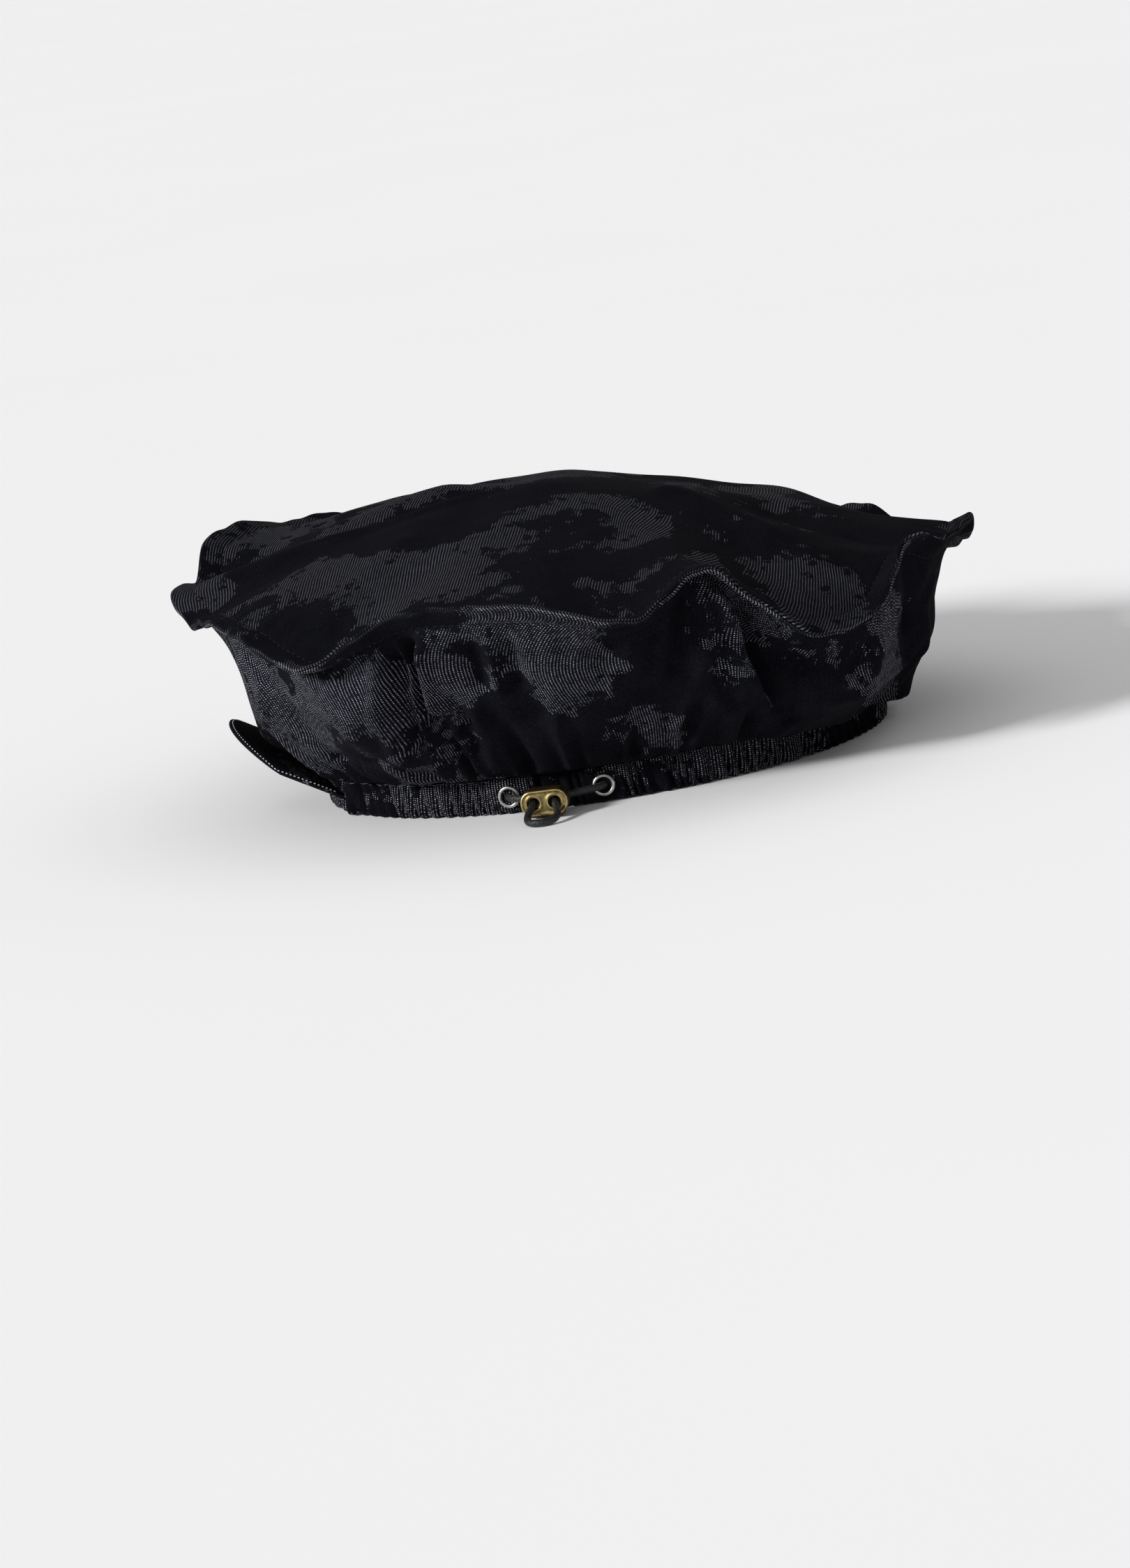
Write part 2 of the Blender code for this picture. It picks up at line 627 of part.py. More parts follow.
def cut_with(item, name, prism, location, clasp):
    """Cut an oblong prism, set down at its place, out of an item."""
    cutter = add_object(name, *prism, *OLD_BRASS, clasp)
    cutter.location = location
    add_cut(item, cutter)


def round_bore(width, height, depth, sides):
    """A prism along Y with half-round ends, or a round one where width and height are equal."""
    return oval_prism(width, height, depth, width / 2 - BORE_STRAIGHT, sides)


def make_lock(clasp):
    """Oval two-hole lock and the plunger that slides up into it."""
    middle = Vector((0, -(LOCK_OUT + LOCK_DEPTH / 2), LOCK_UP))
    oval = oval_prism(LOCK_LENGTH, LOCK_HEIGHT, LOCK_DEPTH, LOCK_CORNER, 5)
    body = add_object("lock_body", *oval, *OLD_BRASS, clasp)
    body.location = middle
    edge = body.modifiers.new("edge", "BEVEL")
    edge.width = LOCK_BEVEL
    edge.segments = 2
    edge.limit_method = "ANGLE"

    height = PLUNGER_TOP + PLUNGER_BOTTOM
    plate = oval_prism(PLUNGER_WIDTH, height, PLUNGER_THICK, PLUNGER_CORNER, 3)
    plunger = add_object("lock_plunger", *plate, *OLD_BRASS, clasp)
    plunger.location = middle + Vector((0, PLUNGER_SHIFT, (PLUNGER_TOP - PLUNGER_BOTTOM) / 2))

    slot_top = PLUNGER_TOP + PLUNGER_TRAVEL + GAP
    slot = oval_prism(
        PLUNGER_WIDTH + 2 * GAP, slot_top + LOCK_HEIGHT, PLUNGER_THICK + 2 * GAP, PLUNGER_CORNER, 3)
    place = middle + Vector((0, PLUNGER_SHIFT, (slot_top - LOCK_HEIGHT) / 2))
    cut_with(body, "plunger_slot", slot, place, clasp)

    for label, side in (("rear", -1), ("front", 1)):
        place = middle + Vector((side * CORD_SPACING / 2, 0, 0))
        bore = round_bore(CORD_BORE, CORD_BORE, 2 * LOCK_DEPTH, 4)
        cut_with(body, "cord_bore_" + label, bore, place, clasp)
        for end, face in (("front", -1), ("back", 1)):
            rim = round_bore(RIM_BORE, RIM_BORE, 2 * RIM_BORE_DEPTH, 5)
            mouth = place + Vector((0, face * LOCK_DEPTH / 2, 0))
            cut_with(body, "cord_rim_" + label + "_" + end, rim, mouth, clasp)
        window = round_bore(CORD_BORE, CORD_BORE + PLUNGER_TRAVEL, 2 * PLUNGER_THICK, 4)
        middle_of_window = place + Vector((0, PLUNGER_SHIFT, -PLUNGER_TRAVEL / 2))
        cut_with(plunger, "cord_window_" + label, window, middle_of_window, clasp)


def make_drawcord(clasp):
    """Elastic cord as a round tube along its hand-set route."""
    route = np.array([(along, -out, up) for along, out, up in ROUTE])
    fine = through(route, np.linspace(0, len(route) - 1, READINGS_PER_POINT * len(route)))
    travel = np.concatenate(([0], np.cumsum(np.linalg.norm(np.diff(fine, axis=0), axis=1))))
    count = round(travel[-1] / CORD_STEP) + 1
    reading = np.linspace(0, travel[-1], count)
    points = np.stack([np.interp(reading, travel, fine[:, k]) for k in range(3)], axis=1)

    path = bpy.data.curves.new("drawcord", "CURVE")
    path.dimensions = "3D"
    path.resolution_u = 1
    path.bevel_depth = CORD_DIAMETER / 2
    path.bevel_resolution = 2
    path.use_fill_caps = True
    spline = path.splines.new("POLY")
    spline.points.add(count - 1)
    spline.points.foreach_set("co", np.column_stack((points, np.ones(count))).ravel())
    cord = bpy.data.objects.new("drawcord", path)
    bpy.context.scene.collection.objects.link(cord)
    cord.parent = clasp
    finish_material(cord, *BLACK_ELASTIC)


def add_empty(name, location, turn, parent):
    """A frame that other objects hang from."""
    empty = bpy.data.objects.new(name, None)
    bpy.context.scene.collection.objects.link(empty)
    empty.parent = parent
    empty.location = location
    empty.rotation_euler = (0, 0, turn)
    return empty


def outline_middle():
    """Middle of the hat's outline from above, which is the flange's outer edge."""
    azimuth = np.arange(CROWN_COLUMNS) * 360 / CROWN_COLUMNS
    edge = flange(azimuth, 1)
    return (edge.min(axis=0) + edge.max(axis=0)) / 2


def make_hat():
    """The whole hat, in the frame of its outline's middle."""
    middle = outline_middle()
    hat = add_empty("hat", (-middle[0], -middle[1], 0), 0, None)
    make_crown(hat)
    make_band(hat)
    make_peak(hat)
    for name, azimuth in EYELETS:
        make_eyelet(name, azimuth, hat)
    place = upright(band_radius(CLASP_AZIMUTH), 0.0, CLASP_AZIMUTH)
    clasp = add_empty("clasp", place, oval_turn(place), hat)
    make_lock(clasp)
    make_drawcord(clasp)


for leftover in list(bpy.data.objects):
    bpy.data.objects.remove(leftover)
make_hat()
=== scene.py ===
"""Looks of a soft painter hat, built around its solids.

Metres, +Z up, +X towards the front, -Y the side with the cord lock. Cloth is worked out from the
same tables as the solids, in the frame of the band's centre, on a finer grid with more folds.
"""

import math

import bpy
import numpy as np
from mathutils import Matrix, Vector


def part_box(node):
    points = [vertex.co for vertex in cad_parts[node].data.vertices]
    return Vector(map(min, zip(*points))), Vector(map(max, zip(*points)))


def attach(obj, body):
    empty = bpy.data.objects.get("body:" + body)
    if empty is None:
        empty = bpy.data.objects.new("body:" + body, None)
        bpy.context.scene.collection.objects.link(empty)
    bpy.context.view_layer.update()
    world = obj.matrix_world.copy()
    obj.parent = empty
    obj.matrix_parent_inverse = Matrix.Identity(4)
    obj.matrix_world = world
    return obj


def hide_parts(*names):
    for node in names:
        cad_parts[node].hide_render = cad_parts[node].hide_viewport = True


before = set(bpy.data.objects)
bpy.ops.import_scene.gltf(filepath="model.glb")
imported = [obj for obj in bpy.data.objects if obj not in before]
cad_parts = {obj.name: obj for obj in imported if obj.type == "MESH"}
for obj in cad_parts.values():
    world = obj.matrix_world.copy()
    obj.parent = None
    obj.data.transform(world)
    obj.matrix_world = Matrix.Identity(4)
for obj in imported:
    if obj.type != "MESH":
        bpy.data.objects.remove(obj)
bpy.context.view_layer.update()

# Cloth, the clearance between two layers, and how far each inner face is from their middle
CLOTH = 0.0011
GAP = 0.0003
INSIDE = GAP / 2

# Ruched band on an oval
BAND_HALF_LENGTH = 0.1010
BAND_HALF_WIDTH = 0.0810
BAND_WALL = 0.0035
BAND_HEIGHT = 0.0126
BAND_SQUARENESS = 0.42
BAND_WRONG_SIDE = -0.3

# Crown: dome of the top panel, flange, and the side panel's seam on the band with its lip
CROWN_HEIGHT = 0.1004
FLANGE_WIDTH = 0.0090
DOME_SLOPE = 0.36
DOME_ROUND = 0.058
DOME_TILT = -0.09
WAVE_REACH = 4.0
CREASE_REACH = 6
SEAM_INSET = 0.0022
LIP_OUT = 0.0016
LIP_RISE = 0.0005
FOLDS_START = 0.16
FOLDS_START_OVER = 0.20
FOLDS_END_OVER = 0.12
FOLD_BLEND = 0.15

# Outer edge of the flange: azimuth, radius, height, tilt (degrees, positive turns the edge up)
EDGE = (
    (0, 0.1406, 0.0600, 4),
    (6, 0.1398, 0.0552, 0),
    (13, 0.1378, 0.0510, 4),
    (22, 0.1345, 0.0518, 12),
    (33, 0.1318, 0.0628, 20),
    (45, 0.1300, 0.0592, 2),
    (56, 0.1290, 0.0603, 16),
    (66, 0.1300, 0.0657, 28),
    (77, 0.1325, 0.0645, 4),
    (87, 0.1322, 0.0722, 22),
    (97, 0.1340, 0.0700, 10),
    (106, 0.1345, 0.0662, -6),
    (117, 0.1345, 0.0745, 20),
    (130, 0.1355, 0.0868, 24),
    (143, 0.1338, 0.0895, 22),
    (151, 0.1352, 0.0945, 26),
    (156, 0.1365, 0.0948, 28),
    (163, 0.1390, 0.0928, 26),
    (170, 0.1390, 0.0815, 18),
    (175, 0.1425, 0.0825, 8),
    (179, 0.1447, 0.0822, 0),
    (183, 0.1440, 0.0792, -12),
    (187, 0.1412, 0.0755, -22),
    (192, 0.1402, 0.0740, -12),
    (198, 0.1405, 0.0780, 0),
    (206, 0.1405, 0.0778, 5),
    (212, 0.1400, 0.0747, 4),
    (220, 0.1417, 0.0684, 0),
    (227, 0.1422, 0.0657, 4),
    (234, 0.1375, 0.0744, 22),
    (241, 0.1340, 0.0815, 38),
    (252, 0.1340, 0.0823, 45),
    (262, 0.1360, 0.0800, 42),
    (269, 0.1378, 0.0742, 26),
    (274, 0.1380, 0.0707, 12),
    (279, 0.1355, 0.0727, 8),
    (285, 0.1300, 0.0805, 10),
    (289, 0.1295, 0.0803, 2),
    (294, 0.1344, 0.0690, -15),
    (300, 0.1393, 0.0547, -28),
    (308, 0.1397, 0.0514, -20),
    (315, 0.1381, 0.0552, 2),
    (321, 0.1347, 0.0634, 22),
    (327, 0.1323, 0.0712, 38),
    (332, 0.1332, 0.0714, 42),
    (337, 0.1358, 0.0670, 40),
    (343, 0.1386, 0.0680, 38),
    (350, 0.1400, 0.0682, 30),
    (355, 0.1408, 0.0666, 14),
)

# Side panel in upright sections: azimuth, roll out from the band, roll height, low radius,
# low height, middle radius, middle height, high radius, high height
SECTIONS = (
    (0, 0.0036, 0.0060, 0.1092, 0.0140, 0.1192, 0.0295, 0.1228, 0.0455),
    (20, 0.0044, 0.0088, 0.1075, 0.0145, 0.1176, 0.0285, 0.1200, 0.0420),
    (45, 0.0065, 0.0145, 0.1040, 0.0200, 0.1157, 0.0310, 0.1200, 0.0430),
    (90, 0.0052, 0.0180, 0.0970, 0.0267, 0.1095, 0.0407, 0.1180, 0.0537),
    (135, 0.0055, 0.0185, 0.1018, 0.0290, 0.1120, 0.0460, 0.1200, 0.0640),
    (160, 0.0060, 0.0185, 0.1105, 0.0290, 0.1190, 0.0445, 0.1262, 0.0635),
    (180, 0.0060, 0.0188, 0.1148, 0.0283, 0.1205, 0.0400, 0.1248, 0.0575),
    (204, 0.0062, 0.0182, 0.1125, 0.0268, 0.1210, 0.0400, 0.1268, 0.0570),
    (224, 0.0070, 0.0165, 0.1065, 0.0245, 0.1195, 0.0383, 0.1293, 0.0525),
    (242, 0.0055, 0.0175, 0.0970, 0.0275, 0.1087, 0.0427, 0.1182, 0.0595),
    (268, 0.0050, 0.0180, 0.0955, 0.0278, 0.1085, 0.0427, 0.1190, 0.0567),
    (290, 0.0055, 0.0170, 0.0960, 0.0260, 0.1092, 0.0417, 0.1183, 0.0605),
    (310, 0.0080, 0.0125, 0.1057, 0.0165, 0.1187, 0.0257, 0.1258, 0.0370),
    (332, 0.0062, 0.0130, 0.1090, 0.0165, 0.1185, 0.0270, 0.1218, 0.0415),
    (348, 0.0044, 0.0088, 0.1088, 0.0145, 0.1186, 0.0285, 0.1216, 0.0450),
)

# Folds of the side panel: azimuth low, azimuth high, half-width low, half-width high, depth,
# start and end of its length
FOLDS = (
    (201, 204, 5.0, 5.0, 0.0015, 0.15, 0.95),
    (213, 216, 7.0, 6.0, -0.0025, 0.20, 0.90),
    (224, 226, 8.0, 7.0, 0.0035, 0.20, 0.85),
    (228, 233, 4.5, 4.5, 0.0020, 0.25, 1.00),
    (235, 238, 4.5, 4.0, -0.0030, 0.30, 1.00),
    (240, 245, 4.5, 4.5, 0.0025, 0.25, 0.95),
    (252, 254, 7.0, 6.0, -0.0018, 0.20, 0.90),
    (264, 264, 8.0, 8.0, 0.0016, 0.10, 0.90),
    (278, 277, 7.0, 5.0, -0.0025, 0.20, 0.90),
    (302, 288, 6.0, 4.5, 0.0050, 0.20, 1.00),
    (305, 296, 5.0, 4.5, -0.0070, 0.30, 0.95),
    (318, 314, 9.0, 9.0, 0.0030, 0.20, 0.80),
    (336, 331, 6.0, 5.0, -0.0030, 0.30, 0.95),
    (348, 347, 7.0, 6.0, 0.0015, 0.20, 0.80),
    (18, 16, 7.0, 6.0, -0.0022, 0.25, 0.90),
    (32, 30, 8.0, 7.0, 0.0030, 0.20, 0.85),
    (52, 49, 7.0, 6.0, -0.0040, 0.20, 0.95),
    (66, 64, 7.0, 6.0, 0.0030, 0.20, 0.95),
    (84, 86, 8.0, 7.0, -0.0030, 0.20, 0.90),
    (103, 100, 7.0, 6.0, 0.0030, 0.20, 0.95),
    (120, 122, 7.0, 7.0, -0.0035, 0.25, 0.95),
    (138, 140, 8.0, 7.0, 0.0025, 0.20, 0.85),
    (156, 158, 7.0, 6.0, -0.0020, 0.30, 0.95),
)

# Fine creases of the side panel: half-width, height, azimuth and share of each point on its line
SIDE_CREASES = (
    (0.0032, 0.0042, ((235.6, 1), (235.2, 0.96), (234, 0.85), (232, 0.7), (230.5, 0.54))),
    (0.0026, -0.0050, ((237, 0.97), (236.3, 0.84), (234.6, 0.7), (233.4, 0.58))),
    (0.0020, 0.0030, ((238.4, 0.96), (237.7, 0.84), (236.2, 0.73), (235, 0.62))),
    (0.0030, -0.0080, ((240.4, 0.95), (239.6, 0.84), (238.2, 0.73), (237.8, 0.68))),
    (0.0027, 0.0058, ((243.6, 0.97), (241.8, 0.85), (240.2, 0.74), (240.2, 0.69))),
    (0.0030, -0.0042, ((240, 0.645), (243, 0.63))),
    (0.0048, 0.0024, ((246.4, 0.97), (243.6, 0.8))),
    (0.0085, 0.0020, ((227, 0.96), (229, 0.74))),
    (0.0030, -0.0018, ((233, 1), (230, 0.95))),
    (0.0030, 0.0024, ((203, 0.98), (207, 0.84), (202, 0.64), (204, 0.46), (203.5, 0.27))),
    (0.0060, -0.0030, ((212, 0.92), (211, 0.64))),
    (0.0036, -0.0030, ((211.5, 0.52), (226, 0.54), (231.5, 0.34))),
    (0.0042, 0.0030, ((227, 0.66), (229, 0.5))),
    (0.0032, 0.0028, ((234.5, 0.56), (235, 0.36))),
    (0.0034, -0.0032, ((238.5, 0.6), (238.8, 0.38))),
    (0.0032, -0.0032, ((243.6, 0.71), (242.4, 0.47), (243.2, 0.3))),
    (0.0026, 0.0024, ((241.2, 0.58), (240.8, 0.38))),
    (0.0036, 0.0026, ((246.5, 0.66), (245.6, 0.4))),
    (0.0034, -0.0034, ((251, 0.97), (249.5, 0.79))),
    (0.0026, 0.0030, ((254.2, 0.98), (252.4, 0.76))),
    (0.0030, -0.0028, ((257.6, 0.99), (256.4, 0.78))),
    (0.0026, 0.0012, ((260.3, 0.98), (259.4, 0.8))),
    (0.0048, 0.0022, ((263.2, 1), (262, 0.78), (261.2, 0.56))),
    (0.0050, -0.0024, ((271, 0.96), (268.5, 0.7))),
    (0.0036, 0.0024, ((276, 0.98), (275, 0.76))),
    (0.0036, 0.0028, ((281.5, 0.94), (279, 0.7))),
    (0.0032, -0.0036, ((284.2, 0.98), (283, 0.72))),
    (0.0030, 0.0030, ((287, 0.83), (287.4, 0.74), (286.3, 0.62), (283.6, 0.46))),
    (0.0034, 0.0050, ((288.6, 0.98), (291.6, 0.84), (293.4, 0.73), (300.5, 0.6))),
    (0.0028, -0.0036, ((289.6, 0.8), (290.4, 0.68), (293.4, 0.58))),
    (0.0042, -0.0064, ((294.4, 0.94), (297.8, 0.78), (302, 0.66), (306, 0.57))),
    (0.0070, -0.0044, ((301.5, 0.85), (312, 0.86))),
    (0.0027, 0.0023, ((304.5, 0.57), (309.5, 0.64), (318.5, 0.66), (335.5, 0.64), (339, 0.71))),
    (0.0034, 0.0030, ((290.5, 0.56), (287.8, 0.34))),
    (0.0032, -0.0030, ((298.5, 0.52), (297.5, 0.32))),
    (0.0030, 0.0018, ((301.5, 0.5), (302, 0.34))),
    (0.0030, -0.0018, ((285.2, 0.48), (284.6, 0.3))),
    (0.0034, 0.0016, ((279, 0.5), (280, 0.32))),
    (0.0030, -0.0014, ((273.5, 0.46), (274, 0.3))),
    (0.0030, 0.0018, ((340.5, 0.9), (341.5, 0.66))),
    (0.0030, -0.0026, ((331, 0.98), (336, 0.8))),
    (0.0060, -0.0020, ((350, 0.93), (360, 0.91), (368, 0.93))),
    (0.0046, -0.0024, ((18, 0.92), (14, 0.58))),
    (0.0044, 0.0022, ((34, 0.9), (30, 0.52))),
    (0.0040, -0.0024, ((60, 0.96), (52, 0.6))),
    (0.0046, 0.0022, ((88, 0.88), (92, 0.46))),
    (0.0036, -0.0026, ((104, 0.96), (108, 0.62))),
    (0.0040, 0.0022, ((128, 0.92), (122, 0.54))),
    (0.0044, -0.0022, ((146, 0.86), (152, 0.5))),
    (0.0036, 0.0020, ((172, 0.94), (170, 0.58))),
    (0.0032, -0.0026, ((188, 0.98), (192, 0.72))),
)

# Ridges and hollows of the top panel: half-width, height, x and y of each point on its line
CREASES = (
    (0.0120, 0.0038, ((-0.142, -0.004), (-0.045, 0.014))),
    (0.0150, -0.0038, ((-0.13, 0.036), (-0.094, 0.036))),
    (0.0200, 0.0032, ((-0.088, 0.05), (-0.064, 0.05))),
    (0.0034, 0.0014, ((-0.128, -0.003), (-0.066, -0.012), (-0.024, -0.008))),
    (0.0050, -0.0015, ((-0.126, 0.006), (-0.066, -0.002), (-0.026, 0.001))),
    (0.0040, 0.0012, ((0.034, -0.027), (0.059, -0.05), (0.086, -0.079))),
    (0.0060, -0.0012, ((0.046, -0.026), (0.08, -0.058))),
    (0.0060, -0.0014, ((0.054, -0.068), (0.064, -0.09))),
    (0.0036, 0.0012, ((0.094, -0.046), (0.108, -0.058))),
    (0.0034, -0.0012, ((0.096, -0.038), (0.112, -0.048))),
    (0.0050, 0.0008, ((-0.09, -0.072), (-0.06, -0.04))),
    (0.0120, 0.0030, ((0.04, -0.028), (0.086, -0.078))),
    (0.0140, -0.0042, ((0.07, -0.02), (0.108, -0.06))),
    (0.0170, 0.0044, ((0.084, 0.040), (0.114, 0.05))),
    (0.0200, -0.0020, ((0.034, 0.01), (0.05, 0.016))),
    (0.0180, 0.0018, ((0.086, 0.02), (0.1, 0.03))),
    (0.0160, -0.0028, ((0.03, 0.076), (0.046, 0.112))),
    (0.0170, -0.0022, ((-0.06, -0.066), (-0.088, -0.094))),
    (0.0150, 0.0024, ((-0.034, 0.08), (-0.046, 0.112))),
)

# Small stiff peak, turned up at the rear
PEAK_HALF_WIDTH = 0.0320
PEAK_LENGTH = 0.0310
PEAK_RISE = 0.0232
PEAK_THICK = 0.0026
PEAK_ROOT_HEIGHT = 0.0108
PEAK_ROOT_GAP = 0.0002
PEAK_ARCH = 0.0095
PEAK_ARCH_POWER = 1.2
PEAK_ROOT_SAG = 0.0058
PEAK_CURL = 1.08
PEAK_TAPER = 0.10
PEAK_CORNER_CUT = 0.62

# Metal eyelets in the band's near side: node, azimuth
EYELETS = (("eyelet_rear", 244.0), ("eyelet_front", 267.0))
EYELET_HEIGHT = 0.0063
EYELET_OUTER = 0.0040
EYELET_INNER = 0.00255
EYELET_RIM = 0.0010
EYELET_DEPTH = 0.0018
EYELET_WALL = 0.0003
EYELET_TUCK = 0.0001
EYELET_COLUMNS = 64
EYELET_ROWS = 13

# Cord lock
CLASP_AZIMUTH = 254.0
LOCK_LENGTH = 0.0164
LOCK_HEIGHT = 0.0088
LOCK_DEPTH = 0.0060
LOCK_OUT = 0.0082
LOCK_UP = 0.0060
LOCK_CORNER = 0.0040
CORD_SPACING = 0.0073

# Elastic drawcord: along the band, out from the band, up
CORD_DIAMETER = 0.0025
CORD_STEP = 0.0004
CORD_SIDES = 24
BRAID_PITCH = 0.0022
BRAID_DEPTH = 0.00005
BRAID_STRANDS = 8
ROUTE = (
    (-0.0152, -0.0020, 0.0063),
    (-0.0149, -0.0006, 0.0063),
    (-0.0142, 0.0009, 0.0063),
    (-0.0129, 0.0022, 0.0062),
    (-0.0111, 0.0033, 0.0061),
    (-0.0091, 0.0042, 0.0060),
    (-0.0071, 0.0052, 0.0060),
    (-0.0054, 0.0064, 0.0060),
    (-0.0042, 0.0079, 0.0060),
    (-0.0037, 0.0097, 0.0060),
    (-0.00365, 0.0118, 0.0060),
    (-0.0038, 0.0137, 0.0058),
    (-0.0043, 0.0155, 0.0050),
    (-0.0050, 0.0172, 0.0038),
    (-0.0055, 0.0190, 0.0026),
    (-0.0054, 0.0210, 0.0018),
    (-0.0045, 0.0229, 0.0014),
    (-0.0027, 0.0242, 0.0013),
    (-0.0005, 0.0246, 0.0013),
    (0.0017, 0.0240, 0.0013),
    (0.0036, 0.0226, 0.0015),
    (0.0046, 0.0207, 0.0020),
    (0.0048, 0.0188, 0.0029),
    (0.0044, 0.0170, 0.0041),
    (0.0040, 0.0153, 0.0053),
    (0.0037, 0.0136, 0.0059),
    (0.00365, 0.0118, 0.0060),
    (0.0037, 0.0098, 0.0060),
    (0.0043, 0.0080, 0.0060),
    (0.0056, 0.0065, 0.0060),
    (0.0073, 0.0054, 0.0060),
    (0.0094, 0.0046, 0.0060),
    (0.0116, 0.0039, 0.0061),
    (0.0136, 0.0031, 0.0062),
    (0.0154, 0.0022, 0.0062),
    (0.0169, 0.0011, 0.0063),
    (0.01795, -0.0002, 0.0063),
    (0.0186, -0.0015, 0.0063),
    (0.0189, -0.0027, 0.0063),
)

# Fineness of the grids
CROWN_COLUMNS = 720
TOP_ROWS = 76
SIDE_ROWS = 74
FLANGE_ROWS = 12
LIP_ROWS = 6
LINING_ROWS = 22
SIDE_LINING_ROWS = 30
BRIM_LINING_ROWS = 3
BAND_COLUMNS = 1440
BAND_PROFILE = 48
TOP_ROWS_CLOSER = 1.5
SIDE_ROWS_CLOSER = 1.2
CLOSER_ON_LOCK_SIDE = 0.42

# Side panel's cloth laid flat, where its ribs stand upright, and the rows that even its widths
SIDE_RADIUS = 0.1250
SIDE_LENGTH = 0.0950
RIBS_UPRIGHT_AT = 236.5
SMOOTH_ROWS = 22

# Padding of the flange, its stitch line, the small waves of its edge and the cloth's ripples
EDGE_ROLL = 0.0012
STITCH_PINCH = 0.00022
PINCH_WIDTH = 0.0011
FLANGE_SWELLS_OVER = 0.35
EDGE_WAVE = 0.00035
PUCKER_HEIGHT = 0.00020
PUCKER_REACH = 0.0050
SIDE_PUCKERS_MORE = 1.4
TOP_RIPPLE = 0.0004
TOP_RIPPLE_SIZE = 0.045
SIDE_RIPPLE = 0.0009
SIDE_RIPPLE_SIZE = 0.020

# Stitches of thread
STITCH_PITCH = 0.0030
STITCH_LENGTH = 0.0023
STITCH_THICK = 0.00045

# Pleats of the band, how their valleys vary, a fat roll among them, and the toothed hem
PLEAT_PITCH = 0.0046
PLEAT_DRIFT = 0.32
PLEAT_DEPTH = 0.0026
PLEAT_SHARPNESS = 0.90
PLEAT_SLANT = 0.8
PLEATS_INSIDE = 0.3
VALLEY_SHARE = 0.88
VALLEY_VARIES = 0.16
HEM_LIFT = 0.0011
ROLL_AZIMUTH = 200.5
ROLL_WIDTH = 1.3
ROLL_HEIGHT = 0.0030
HEM_TEETH = 520
HEM_TOOTH = 0.00022
PLAIN_BY_EYELET = 3.2
PLEATS_START_OVER = 4.0

# Side panel's gathers and wrinkles, and the shares of its length where they grow and fade
GATHER_DEPTH = 0.0020
GATHERS_GROW = (0.08, 0.24)
GATHERS_FADE = (0.30, 0.72)
WRINKLES_GROW = (0.14, 0.36)
RELIEF_FADES_OVER = 0.10

# Twill: pitch of its ribs, and of the light dots or longer dashes on them
RIB_PITCH = 0.00102
DOT_PITCH = 0.00072
DASH_PITCH = 0.0034

# Flock: sizes of its blotches, of the ragged bays in them, and of loose spots and gaps
FLOCK_SIZE = 0.050
MIDDLING_SIZE = 0.0105
MIDDLING_SHARE = 0.34
SPOT_SIZE = 0.0058
GAP_SIZE = 0.0070

# How much more of the cloth the flock covers for each metre along x and y: more dark flock towards
# the front, partly the cloth's own pattern and partly painted shade on the side away from the key lamp
FLOCK_LEAN = (0.28, -0.20, 0.0)

# Relief of the cloth: its ribs, the flock on it, and the flock's nap
RIB_RELIEF = 0.00018
FLOCK_RELIEF = 0.00030
NAP_RELIEF = 0.00016

# Colours of the twill's ground and of the flock, each dark and light, and of the painted highlight on
# folded edges
GROUND_COLOURS = ((0.0012, 0.0013, 0.0026), (0.0108, 0.0110, 0.0165))
FLOCK_COLOURS = ((0.0008, 0.0009, 0.0019), (0.0290, 0.0297, 0.0400))
HEM_HIGHLIGHT = (0.12, 0.122, 0.135)
EDGE_HIGHLIGHT = (0.22, 0.223, 0.25)

# Grids of the peak: rings from its centre, columns round it, its groove under the topstitching
PEAK_ROWS = 44
PEAK_COLUMNS = 240
PEAK_RIM_INSET = 0.05
PEAK_STITCH_RING = 0.925
PEAK_STITCHES_FROM = -0.8
PEAK_THIN = 0.0005
PEAK_STITCH_PITCH = 0.0015
PEAK_STITCH_LENGTH = 0.0010
PEAK_GROOVE = 0.00025
PEAK_GROOVE_WIDTH = 0.035

# The band's stitches: place on its section in degrees, first and last azimuth
BAND_STITCH_ANGLE = 48.0
BAND_STITCHES = (186.0, 240.0)

# Face plate of the cord lock, with its raised rims and the two holes
PLATE_FRONT = 0.00060
PLATE_BACK = 0.0010
PLATE_EDGE = 0.0006
PLATE_RIM = 1.75 * PLATE_EDGE
PLATE_COLUMNS = 48
HOLE = 0.00215
HOLE_ROUND = 0.0003
HOLE_RIM = 0.0029
RIM_RISE = 0.00035

# Camera, seen from the lock's side, and the light
CAMERA_RISE = 11.6
CAMERA_ROLL = 9.2
CAMERA_AWAY = 1.8
CAMERA_AIM = (-0.01725, 0.0, -0.008)
CAMERA_LENS = 115.3
FLOOR_REACH = 60.0
FLOOR_DROP = -0.0002
SKY = 0.38
# Lamps: name, direction that they shine from, strength, spread in degrees
LAMPS = (
    ("key", (-0.90, -0.48, 0.50), 3.40, 14.0),
    ("fill", (0.20, -0.30, 0.95), 0.50, 80.0),
)


